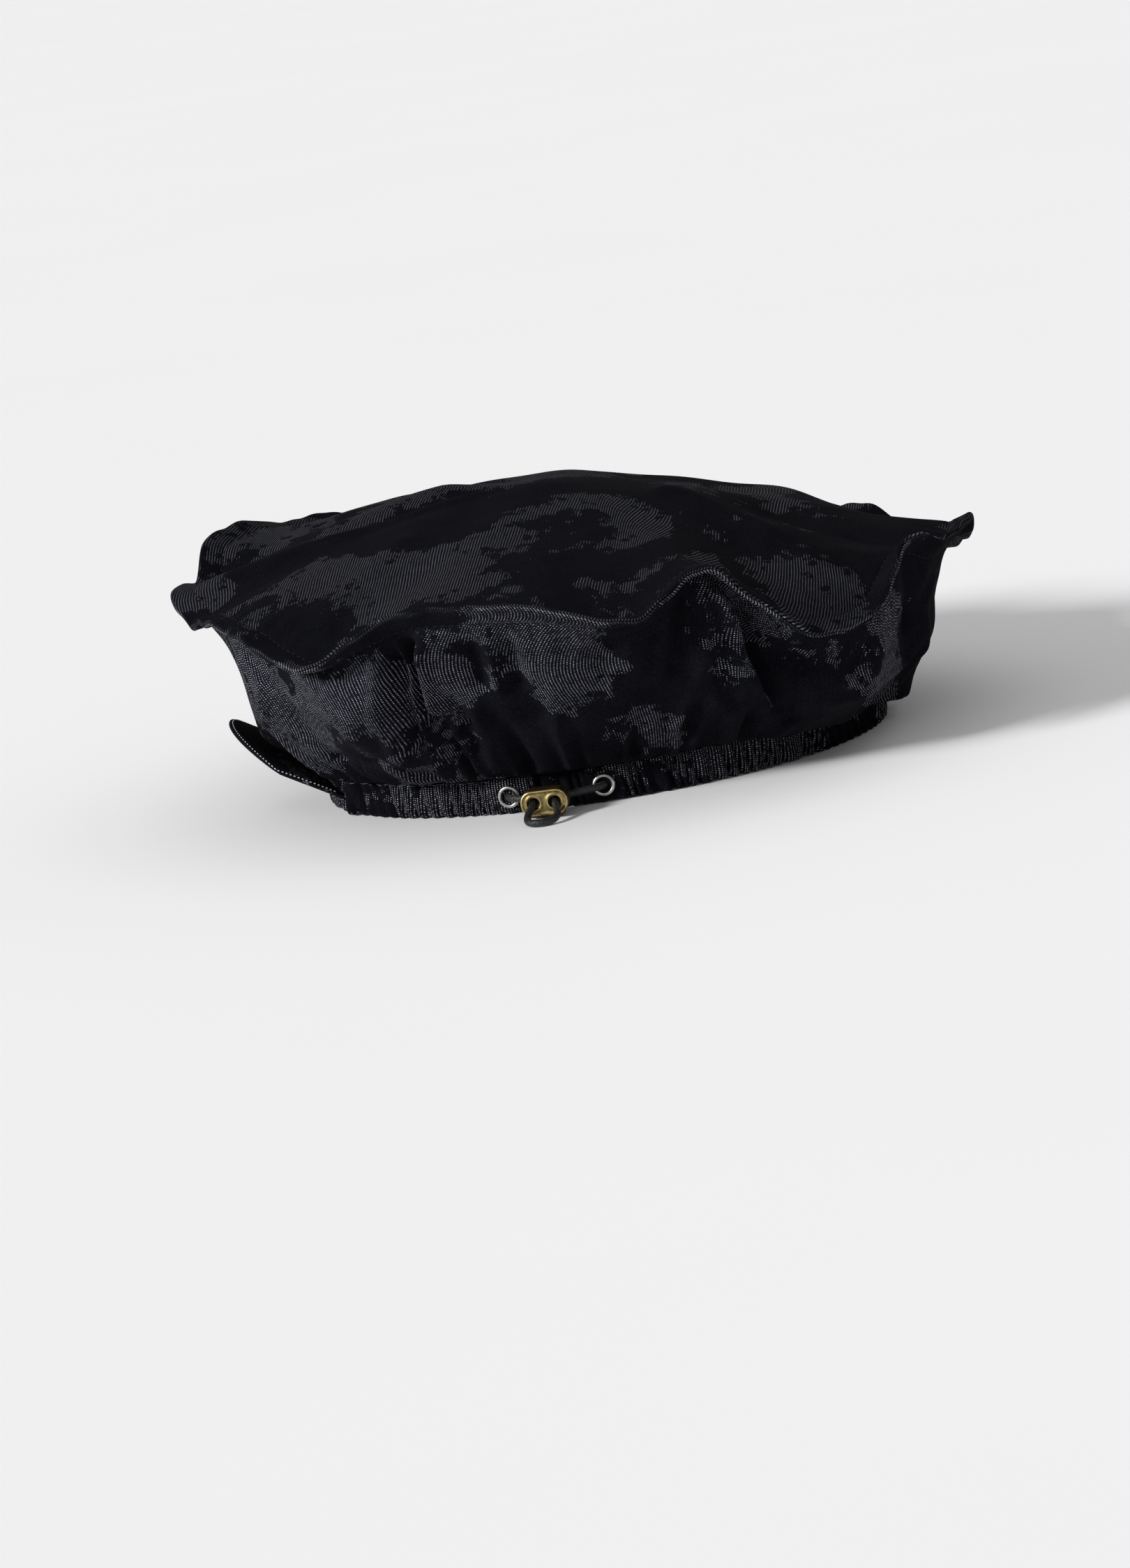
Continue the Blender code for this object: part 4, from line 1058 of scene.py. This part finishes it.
def add_flange_stitches(finish):
    """Both faces' stitch line at the root of the flange."""
    azimuth = turns_of(CROWN_COLUMNS)
    near = np.array((0.96, 0.98, 1.0))
    for name, side, rows in (
            ("flange_stitches_top", -1, top_panel(azimuth[None], near[:, None])),
            ("flange_stitches_under", 1, side_panel(azimuth, near))):
        brim = flange(azimuth[None], np.array((0.15, 0.3))[:, None])
        normal = side * normals(np.concatenate((rows, brim)))[2]
        face = rows[-1] + normal * (INSIDE + CLOTH - STITCH_PINCH)
        add_stitches(name, *spaced(face, normal, STITCH_PITCH, STITCH_LENGTH), finish)


def add_band_stitches(finish):
    """Dashes of light thread along the top of the band, in short stretches between pleats."""
    azimuth = turns_of(BAND_COLUMNS)
    angle = math.radians(BAND_STITCH_ANGLE)
    rows = band_point(azimuth[None], np.array((angle - 0.1, angle, angle + 0.1))[:, None])
    normal = unit(upright(np.ones(len(azimuth)), 0.25, azimuth))
    kept = (azimuth > BAND_STITCHES[0]) & (azimuth < BAND_STITCHES[1])
    line = spaced(rows[1, kept], normal[kept], STITCH_PITCH, STITCH_LENGTH, False)
    add_stitches("band_stitches", *line, finish)


def add_peak_stitches(rings, middle, normal, half, finish):
    """Topstitching inside the peak's edge on both faces, left open along its root."""
    row = int(np.argmin(np.abs(rings - PEAK_STITCH_RING)))
    kept = np.roll(np.arange(PEAK_COLUMNS), PEAK_COLUMNS // 4)
    turn = kept * 2 * math.pi / PEAK_COLUMNS
    size = np.maximum(np.abs(np.sin(turn)), np.abs(np.cos(turn)))
    kept = kept[np.sin(turn) / size > PEAK_STITCHES_FROM]
    for name, side in (("peak_stitches_top", 1), ("peak_stitches_under", -1)):
        face = middle[row, kept] + side * normal[row, kept] * half[row]
        outward = side * normal[row, kept]
        line = spaced(face, outward, PEAK_STITCH_PITCH, PEAK_STITCH_LENGTH, False)
        add_stitches(name, *line, finish)


def clasp_frame():
    """Middle of the lock's place on the band, with the directions along the band and outwards."""
    place = upright(band_radius(CLASP_AZIMUTH), 0.0, CLASP_AZIMUTH)
    return place, *oval_directions(place)


def oval_directions(place):
    """Directions along the band and outwards from it at a point of its oval."""
    outward = unit(np.array((place[0] / BAND_HALF_LENGTH ** 2, place[1] / BAND_HALF_WIDTH ** 2, 0.0)))
    return np.array((-outward[1], outward[0], 0.0)), outward


def add_eyelet(name, azimuth, finish):
    """Eyelet as a turned profile: a domed rim with a rolled lip, and a barrel into the band."""
    place = upright(band_radius(azimuth), EYELET_HEIGHT, azimuth)
    along, outward = oval_directions(place)
    bend = np.linspace(0, math.pi, EYELET_ROWS)
    middle = (EYELET_INNER + EYELET_OUTER) / 2
    half = (EYELET_OUTER - EYELET_INNER) / 2
    rim = np.stack((middle - half * np.cos(bend), GAP + EYELET_RIM * np.sin(bend) ** 0.8), axis=-1)
    barrel = np.array((
        (EYELET_OUTER - EYELET_TUCK, EYELET_TUCK),
        (EYELET_INNER + EYELET_WALL, 0.0),
        (EYELET_INNER + EYELET_WALL, -EYELET_DEPTH),
        (EYELET_INNER, -EYELET_DEPTH),
    ))
    profile = np.concatenate((rim, barrel))
    turn = np.arange(EYELET_COLUMNS) * 2 * math.pi / EYELET_COLUMNS
    across = along[None] * np.cos(turn)[:, None] + np.array((0, 0, 1)) * np.sin(turn)[:, None]
    grid = place + profile[:, None, :1] * across[None] + profile[:, None, 1:] * outward
    uv = wrapped(grid[..., :2])
    add_loop_grid(name + "_ring", grid, uv, {}, finish, (name,))


def plate_outline(count):
    """Right half of the plate's outline from its foot on the middle line, and its outward normals.

    Up the middle line between the rims, where the two halves join, then round the rounded oblong."""
    half_x = LOCK_LENGTH / 2 - LOCK_CORNER
    half_z = LOCK_HEIGHT / 2 - LOCK_CORNER
    inner = np.linspace(PLATE_RIM - LOCK_HEIGHT / 2, LOCK_HEIGHT / 2 - PLATE_RIM, count // 3)
    line = np.stack((0 * inner, inner), axis=-1)
    bend = np.linspace(math.pi / 2, -math.pi / 2, count // 2)
    ray = np.stack((np.cos(bend), np.sin(bend)), axis=-1)
    corner = np.stack((half_x + 0 * bend, np.where(bend > 0, half_z, -half_z)), axis=-1)
    curve = corner + LOCK_CORNER * ray
    straight_x = np.linspace(0, half_x, 4, endpoint=False)
    upper = np.stack((straight_x, 0 * straight_x + LOCK_HEIGHT / 2), axis=-1)
    lower = np.stack((straight_x[::-1], 0 * straight_x - LOCK_HEIGHT / 2), axis=-1)
    outline = np.concatenate((line, upper, curve, lower))
    outward = np.concatenate((0 * line, 0 * upper + (0, 1), ray, 0 * lower + (0, -1)))
    return outline, outward


def add_lock_plate(finish):
    """Oval face of the lock: each half is ruled from its hole's circle to the outline.

    The rows run up the bore, over the raised rim, out over the face, round the edge and back;
    the mirrored half is welded on along the middle line."""
    outline, outward = plate_outline(PLATE_COLUMNS)
    hole = np.array((CORD_SPACING / 2, 0.0))
    ray = unit(outline - hole)
    bore = [(HOLE, -PLATE_BACK), (HOLE, -0.0002)]
    bore += [
        (HOLE + HOLE_ROUND * (1 - math.cos(bend)), RIM_RISE * math.sin(bend))
        for bend in (0.3, 0.8, 1.3)]
    face = HOLE_RIM + 0.0001
    rim = [(HOLE + 2 * HOLE_ROUND, RIM_RISE), (HOLE_RIM - 0.0002, RIM_RISE * 0.8)]
    rim += [(HOLE_RIM, RIM_RISE * 0.3), (face, 0.0)]
    sheets = [
        np.column_stack((hole + ray * radius, np.full(len(ray), depth)))
        for radius, depth in bore + rim]
    on_edge = np.linalg.norm(outward, axis=-1)
    for inset, share, rise in ((1.7, 0.8, 0.0), (1.35, 1.0, 0.45), (1.0, 1.0, 1.0)):
        flat = outline - outward * PLATE_EDGE * inset
        flat = (1 - share) * (hole + ray * face) + share * flat
        sheets.append(np.column_stack((flat, rise * RIM_RISE * on_edge)))
    for bend in np.linspace(0, math.pi / 2, 6)[1:]:
        rolled = outline - outward * PLATE_EDGE * (1 - math.sin(bend))
        drop = (RIM_RISE + PLATE_EDGE * (math.cos(bend) - 1)) * on_edge
        sheets.append(np.column_stack((rolled, drop)))
    sheets.append(np.column_stack((outline, np.full(len(ray), -PLATE_BACK))))
    grid = np.stack(sheets)
    quads, _ = grid_quads(len(grid), len(ray), True)
    flat = grid.reshape(-1, 3)
    on_middle = np.all(np.abs(flat[quads][..., 0]) < 1e-9, axis=-1)
    quads = quads[~on_middle]
    both = np.concatenate((flat, flat * (-1, 1, 1)))
    faces = np.concatenate((quads, quads[:, ::-1] + len(flat)))
    used, numbers = np.unique(np.round(both[faces.ravel()], 7), axis=0, return_inverse=True)
    faces = numbers.reshape(-1, 4)
    raised = used[:, 2] / RIM_RISE
    place, along, outward = clasp_frame()
    middle = place + outward * (LOCK_OUT + LOCK_DEPTH + PLATE_FRONT) + np.array((0, 0, LOCK_UP))
    points = middle + used[:, :1] * along + used[:, 1:2] * (0, 0, 1) + used[:, 2:] * outward
    turn = -1 if volume(points, faces) < 0 else 1
    no_fans = np.zeros((0, 3), int)
    plate = add_mesh("lock_plate", points, faces[:, ::turn], no_fans, finish)
    plate.data.set_sharp_from_angle(angle=math.radians(50))
    add_mark(plate, "raised", np.clip(raised, 0, 1))


def add_drawcord(finish):
    """Elastic cord as circles carried along its route, with the rise and fall of its braid."""
    place, along, outward = clasp_frame()
    steps = np.array(ROUTE)
    route = place + steps[:, :1] * along + steps[:, 1:2] * outward + steps[:, 2:] * (0, 0, 1)
    fine = through(route, np.linspace(0, len(route) - 1, 12 * len(route)))
    travel = travelled(fine)
    count = round(travel[-1] / CORD_STEP) + 1
    at = np.linspace(0, travel[-1], count)
    line = read_along(fine, travel, at)
    tangent = unit(np.gradient(line, axis=0))
    aside = unit(np.cross(tangent, (0, 0, 1)))
    above = np.cross(aside, tangent)
    turn = np.arange(CORD_SIDES) * 2 * math.pi / CORD_SIDES
    wound = BRAID_STRANDS * turn[None]
    run = at[:, None] * 2 * math.pi / BRAID_PITCH
    braid = np.sin(wound + run) * np.sin(wound - run)
    radius = CORD_DIAMETER / 2 + BRAID_DEPTH * braid
    circles = aside[:, None] * np.cos(turn)[:, None] + above[:, None] * np.sin(turn)[:, None]
    grid = line[:, None] + radius[..., None] * circles
    circle = np.append(turn, 2 * math.pi) / (2 * math.pi)
    uv = np.stack(np.broadcast_arrays(circle[None], at[:, None]), axis=-1)
    cord = add_disc_grid("elastic_cord", grid, uv, {}, finish, ("drawcord",))


class Shade:
    """A socket of a material's nodes that takes part in sums, products and comparisons."""

    def __init__(self, tree, socket):
        self.tree = tree
        self.socket = socket

    def node(self, kind, settings, inputs, output=0):
        """One output of a new node, whose settings are made before its sockets are filled."""
        made = self.tree.nodes.new(kind)
        for name, value in settings.items():
            setattr(made, name, value)
        for name, value in inputs.items():
            if isinstance(value, Shade):
                self.tree.links.new(value.socket, made.inputs[name])
            else:
                made.inputs[name].default_value = value
        return Shade(self.tree, made.outputs[output])

    def maths(self, operation, *values):
        return self.node("ShaderNodeMath", {"operation": operation}, dict(enumerate(values)))

    def __add__(self, other):
        return self.maths("ADD", self, other)

    def __sub__(self, other):
        return self.maths("SUBTRACT", self, other)

    def __rsub__(self, other):
        return self.maths("SUBTRACT", other, self)

    def __mul__(self, other):
        return self.maths("MULTIPLY", self, other)

    def __truediv__(self, other):
        return self.maths("DIVIDE", self, other)

    __radd__ = __add__
    __rmul__ = __mul__

    def step(self, low, high):
        """0 below low, 1 above high and smooth between; low may be the larger one."""
        sockets = {"Value": self, "From Min": low, "From Max": high}
        return self.node("ShaderNodeMapRange", {"interpolation_type": "SMOOTHSTEP"}, sockets)

    def wave(self):
        """0 to 1 and back, once for each whole number."""
        return self.maths("SINE", self * (2 * math.pi)) * 0.5 + 0.5

    def noise(self, scale, detail=3.0, roughness=0.5, distortion=0.0):
        """Fractal noise from 0 to 1 at this place."""
        sockets = {"Vector": self, "Scale": scale, "Detail": detail, "Roughness": roughness}
        return self.node("ShaderNodeTexNoise", {}, {**sockets, "Distortion": distortion}, "Fac")

    def cells(self, scale):
        """Distance to the middle of the nearest of many scattered cells, in cell widths."""
        sockets = {"Vector": self, "Scale": scale, "Randomness": 0.9}
        return self.node("ShaderNodeTexVoronoi", {}, sockets, "Distance")

    def chance(self):
        """A random number for each whole number, the same for all the values up to the next."""
        settings = {"noise_dimensions": "1D"}
        return self.node("ShaderNodeTexWhiteNoise", settings, {"W": self.maths("FLOOR", self)}, "Value")

    def shifted(self, vector):
        """This place moved by a vector."""
        return self.node("ShaderNodeVectorMath", {"operation": "ADD"}, {0: self, 1: vector})

    def dot(self, vector):
        """The dot product of this place and a vector."""
        return self.node("ShaderNodeVectorMath", {"operation": "DOT_PRODUCT"}, {0: self, 1: vector}, 1)

    def bump(self, strength):
        """The surface's normal, tilted by this height in metres."""
        sockets = {"Height": self, "Strength": strength, "Distance": 1.0}
        return self.node("ShaderNodeBump", {}, sockets)

    def blend(self, first, second):
        """The first colour where this is 0 and the second where it is 1."""
        first, second = (c if isinstance(c, Shade) else (*c, 1.0) for c in (first, second))
        return self.node("ShaderNodeMix", {"data_type": "RGBA"}, {0: self, 6: first, 7: second}, 2)


def new_finish(name, roughness, metallic=0.0, specular=0.5, sheen=0.0, sheen_roughness=0.5):
    """A Principled material with its constants set, and its shader."""
    material = bpy.data.materials.new(name)
    material.use_nodes = True
    shader = material.node_tree.nodes["Principled BSDF"]
    shader.inputs["Roughness"].default_value = roughness
    shader.inputs["Metallic"].default_value = metallic
    shader.inputs["Specular IOR Level"].default_value = specular
    shader.inputs["Sheen Weight"].default_value = sheen
    shader.inputs["Sheen Roughness"].default_value = sheen_roughness
    return material, shader


def place_of(tree):
    """The point's own place on its object, in metres."""
    return Shade(tree, None).node("ShaderNodeTexCoord", {}, {}, "Object")


def mark_of(tree, name):
    """A value that a piece carries at its points."""
    return Shade(tree, None).node("ShaderNodeAttribute", {"attribute_name": name}, {}, "Fac")


def cloth_of(tree):
    """The cloth's own coordinates in metres, as two numbers."""
    both = Shade(tree, None).node("ShaderNodeUVMap", {"uv_map": "cloth"}, {})
    split = both.node("ShaderNodeSeparateXYZ", {}, {"Vector": both})
    return split, Shade(tree, split.socket.node.outputs[1])


def feed(shader, name, value):
    """Join a value to one of the shader's sockets."""
    value.tree.links.new(value.socket, shader.inputs[name])


def flocked_twill(
        name, lean, shift, coverage, light, highlight_on_folds=HEM_HIGHLIGHT,
        dash=0.15, dash_pitch=DOT_PITCH, steady=0.0, tone=1.0):
    """Charcoal twill under black flock: ribs of light threads, and blotches with spots round them.

    lean is the ribs' angle from the cloth's second direction in degrees, shift moves the
    blotches in metres, and coverage raises or lowers how much of the cloth they cover. light is
    the colour of the dots of thread, and the colour for folds that of a painted highlight on the
    ribs of a folded edge.
    dash is the share of its pitch that a dot is long, dash_pitch the length from one to the
    next, steady how far all dots are equally strong, and tone the lightness of all the rest."""
    material, shader = new_finish(name, 0.9, specular=0.03, sheen=0.003, sheen_roughness=0.5)
    tree = material.node_tree
    across, along = cloth_of(tree)
    place = place_of(tree)
    moved = place.shifted(shift)

    # Ribs of the twill, and dots of light thread along their ridges
    cosine = math.cos(math.radians(lean))
    sine = math.sin(math.radians(lean))
    wobble = moved.noise(160.0, 3.0) * 0.55
    rib = (across * cosine + along * sine) / RIB_PITCH + wobble
    run = (along * cosine - across * sine) / dash_pitch + rib.chance() * 7.0 + moved.noise(500.0, 2.0)
    ridge_line = rib.wave()
    faded = moved.noise(420.0, 3.0, 0.7).step(0.35, 0.65) * 0.45
    strength = run.chance() * (0.75 - steady) + steady + faded
    dots = ridge_line.step(0.64, 1.0) * run.wave().step(0.62 - dash, 1.0 - dash) * strength

    # Ragged blotches of flock, with spots beside them and gaps within; none on the wrong side
    # The lean puts more dark flock towards the front: partly the real pattern, partly painted shade
    middling = moved.noise(1 / MIDDLING_SIZE, 3.0, 0.6) * MIDDLING_SHARE + place.dot(FLOCK_LEAN)
    big = moved.noise(1 / FLOCK_SIZE, 1.5, 0.5, 0.4) + middling + coverage - MIDDLING_SHARE / 2
    ragged = moved.noise(520.0, 3.0, 0.65) * 0.070 - 0.035
    blotch = (big + ragged).step(0.468, 0.484)
    uneven = moved.noise(330.0, 3.0, 0.6) * 1.3 - 0.65
    near = (big + ragged * 2.0).step(0.385, 0.43)
    spots = (moved.cells(1 / SPOT_SIZE) + uneven).step(0.31, 0.24) * near
    gaps = (moved.cells(1 / GAP_SIZE) + uneven).step(0.24, 0.17) * (big - ragged).step(0.53, 0.505)
    outside = 1 - mark_of(tree, "wrong_side")
    velvet = blotch.maths("MAXIMUM", blotch, spots) * (1 - gaps) * outside

    # Colours, the painted highlight on the ribs of a fold, and the relief
    nap = moved.noise(2200.0, 3.0, 0.8)
    tuft = nap.step(0.54, 0.74)
    cloud = moved.noise(70.0, 3.0, 0.6)
    lit = (ridge_line * 0.35 + cloud * 0.5) * tone
    twill = dots.blend(lit.blend(*GROUND_COLOURS), light)
    brushed = (tuft * 0.8 + cloud * 0.22) * tone
    pile = brushed.blend(*FLOCK_COLOURS)
    bare = 1 - velvet
    # Painted highlight along a folded edge: strongest on bare twill and on strong dots, in patches
    fold_highlight = (0.30 + 0.70 * bare) * (0.15 + strength * 0.7) * moved.noise(75.0, 2.0).step(0.36, 0.60)
    fold = mark_of(tree, "fold") * ridge_line.step(0.35, 0.90) * fold_highlight
    feed(shader, "Base Color", fold.blend(velvet.blend(twill, pile), highlight_on_folds))
    feed(shader, "Roughness", 0.80 + velvet * 0.18)
    height = ridge_line * bare * RIB_RELIEF + velvet * (FLOCK_RELIEF + nap * NAP_RELIEF)
    feed(shader, "Normal", height.bump(0.85))
    return material


def plated(name, dark, bright, roughness, raised=None):
    """Worn metal plate: dark in blotches, lighter and smoother where it is rubbed, finely pitted.

    raised names a piece's own mark of its raised parts, which are rubbed most."""
    material, shader = new_finish(name, roughness, metallic=1.0)
    tree = material.node_tree
    place = place_of(tree)
    cloud = place.noise(420.0, 4.0, 0.65)
    rubbed = cloud.step(0.30, 0.72)
    if raised:
        rubbed = rubbed * 0.55 + mark_of(tree, raised) * 0.45
    feed(shader, "Base Color", rubbed.blend(dark, bright))
    feed(shader, "Roughness", roughness + 0.22 - rubbed * 0.22)
    height = place.noise(2600.0, 3.0, 0.7) * 0.00003
    feed(shader, "Normal", height.bump(0.6))
    return material


def braided_elastic():
    """Fine black braid: two sets of crossing strands, with painted sheen on their crests
    and painted shade between them.
    """
    material, shader = new_finish("black_braid", 0.5, specular=0.5, sheen=0.02)
    tree = material.node_tree
    turn, run = cloth_of(tree)
    left = (turn * BRAID_STRANDS + run / BRAID_PITCH).wave()
    right = (turn * BRAID_STRANDS - run / BRAID_PITCH).wave()
    crest = (left * right).step(0.25, 0.9)
    fluff = place_of(tree).noise(2500.0, 2.0)
    # Lighter crests and darker valleys between strands: painted sheen and shade
    tone = crest * 0.8 + fluff * 0.2
    feed(shader, "Base Color", tone.blend((0.0012, 0.0013, 0.0018), (0.010, 0.011, 0.014)))
    feed(shader, "Roughness", 0.55 - crest * 0.20)
    height = crest * 0.00015 + fluff * 0.00004
    feed(shader, "Normal", height.bump(0.8))
    return material


def thread(name, dark, light):
    """Spun thread with a slight change of tone along it."""
    material, shader = new_finish(name, 0.8, specular=0.15, sheen=0.01)
    place = place_of(material.node_tree)
    tone = place.noise(1500.0, 2.0)
    feed(shader, "Base Color", tone.blend(dark, light))
    height = tone * 0.0001
    feed(shader, "Normal", height.bump(0.5))
    return material


def paper_floor():
    """Matt off-white sheet with a faint mottle."""
    material, shader = new_finish("pale_floor", 0.95, specular=0.1)
    tone = place_of(material.node_tree).noise(3.0, 2.0)
    feed(shader, "Base Color", tone.blend((0.865, 0.865, 0.870), (0.885, 0.885, 0.890)))
    return material


def add_floor():
    """A very large pale sheet that the hat rests on."""
    signs = ((-1, -1), (1, -1), (1, 1), (-1, 1))
    corners = [(x * FLOOR_REACH, y * FLOOR_REACH, FLOOR_DROP) for x, y in signs]
    mesh = bpy.data.meshes.new("floor")
    mesh.from_pydata(corners, [], [(0, 1, 2, 3)])
    mesh.materials.append(paper_floor())
    floor = bpy.data.objects.new("floor", mesh)
    bpy.context.scene.collection.objects.link(floor)


def add_lamp(name, direction, strength, spread):
    """A sun as soft as a large screen, shining from a direction."""
    lamp = bpy.data.lights.new(name, "SUN")
    lamp.energy = strength
    lamp.angle = math.radians(spread)
    item = bpy.data.objects.new(name, lamp)
    bpy.context.scene.collection.objects.link(item)
    item.rotation_mode = "QUATERNION"
    item.rotation_quaternion = Vector(direction).to_track_quat("Z", "Y")


def add_light():
    """Even white surroundings and two soft lamps, the stronger from the rear of the hat."""
    world = bpy.data.worlds.new("studio")
    world.use_nodes = True
    sky = world.node_tree.nodes["Background"]
    sky.inputs["Color"].default_value = (1.0, 1.0, 1.0, 1.0)
    sky.inputs["Strength"].default_value = SKY
    bpy.context.scene.world = world
    for name, direction, strength, spread in LAMPS:
        add_lamp(name, direction, strength, spread)


def add_camera():
    """Camera on the lock's side, a little above the band and turned about its own axis."""
    rise = math.radians(CAMERA_RISE)
    roll = math.radians(CAMERA_ROLL)
    back = np.array((0.0, -math.cos(rise), math.sin(rise)))
    level = np.array((1.0, 0.0, 0.0))
    upward = np.cross(back, level)
    right = math.cos(roll) * level - math.sin(roll) * upward
    top = math.sin(roll) * level + math.cos(roll) * upward
    camera = bpy.data.cameras.new("camera")
    camera.lens = CAMERA_LENS
    camera.clip_end = 2 * FLOOR_REACH
    item = bpy.data.objects.new("camera", camera)
    bpy.context.scene.collection.objects.link(item)
    item.rotation_mode = "QUATERNION"
    item.rotation_quaternion = Matrix(np.stack((right, top, back), axis=1).tolist()).to_quaternion()
    item.location = CENTRE + np.array(CAMERA_AIM) + CAMERA_AWAY * back
    bpy.context.scene.camera = item


def dress_nodes(finish):
    """The lock's own solids stay in sight, in brass darkened as painted shade behind the face."""
    for node in ("lock_body", "lock_plunger"):
        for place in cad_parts[node].material_slots:
            place.material = finish


band_low, band_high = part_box("band")
CENTRE = np.array(((band_low.x + band_high.x) / 2, (band_low.y + band_high.y) / 2, 0.0))

bpy.context.scene.view_settings.view_transform = "Standard"
add_camera()
add_light()
add_floor()

side_cloth = flocked_twill(
    "flocked_twill_side", lean=-4.0, shift=(0.62, 0.41, 0.33), coverage=-0.008,
    light=(0.45, 0.458, 0.53), highlight_on_folds=EDGE_HIGHLIGHT)
# The top panel's twill is a darker copy, with dim dots and a tone of 0.55: painted shade, as the top
# faces the lamps more than the sides
top_cloth = flocked_twill(
    "flocked_twill_top", lean=-12.0, shift=(1.3, 0.4, 0.2), coverage=-0.012,
    light=(0.064, 0.065, 0.076), highlight_on_folds=EDGE_HIGHLIGHT,
    dash=0.90, dash_pitch=DASH_PITCH, steady=0.55, tone=0.55)
band_cloth = flocked_twill(
    "flocked_twill_band", lean=2.0, shift=(0.07, 0.22, 0.11), coverage=-0.02,
    light=(0.52, 0.525, 0.58), tone=0.8)
peak_cloth = flocked_twill(
    "flocked_twill_peak", lean=0.0, shift=(0.19, 0.05, 0.21), coverage=0.13,
    light=(0.40, 0.41, 0.44))
dark_thread = thread("dark_thread", (0.003, 0.003, 0.004), (0.012, 0.012, 0.015))
pale_thread = thread("pale_thread", (0.34, 0.34, 0.35), (0.62, 0.62, 0.63))
grey_thread = thread("grey_thread", (0.03, 0.031, 0.036), (0.09, 0.092, 0.10))
nickel = plated("bright_nickel", (0.27, 0.26, 0.245), (0.62, 0.605, 0.58), 0.20)
# The lock body's brass is far darker than the face's: painted shade, for the body behind and above the
# face
brass = plated("brass_body_painted_shade", (0.030, 0.022, 0.010), (0.19, 0.14, 0.06), 0.40)
brass_face = plated("old_brass_face", (0.13, 0.095, 0.035), (0.66, 0.52, 0.24), 0.28, "raised")

add_crown_top(top_cloth)
add_crown_side(side_cloth)
add_band(band_cloth)
peak = add_peak(peak_cloth)
add_flange_stitches(dark_thread)
add_band_stitches(grey_thread)
add_peak_stitches(*peak, pale_thread)
for name, azimuth in EYELETS:
    add_eyelet(name, azimuth, nickel)
add_lock_plate(brass_face)
dress_nodes(brass)
add_drawcord(braided_elastic())
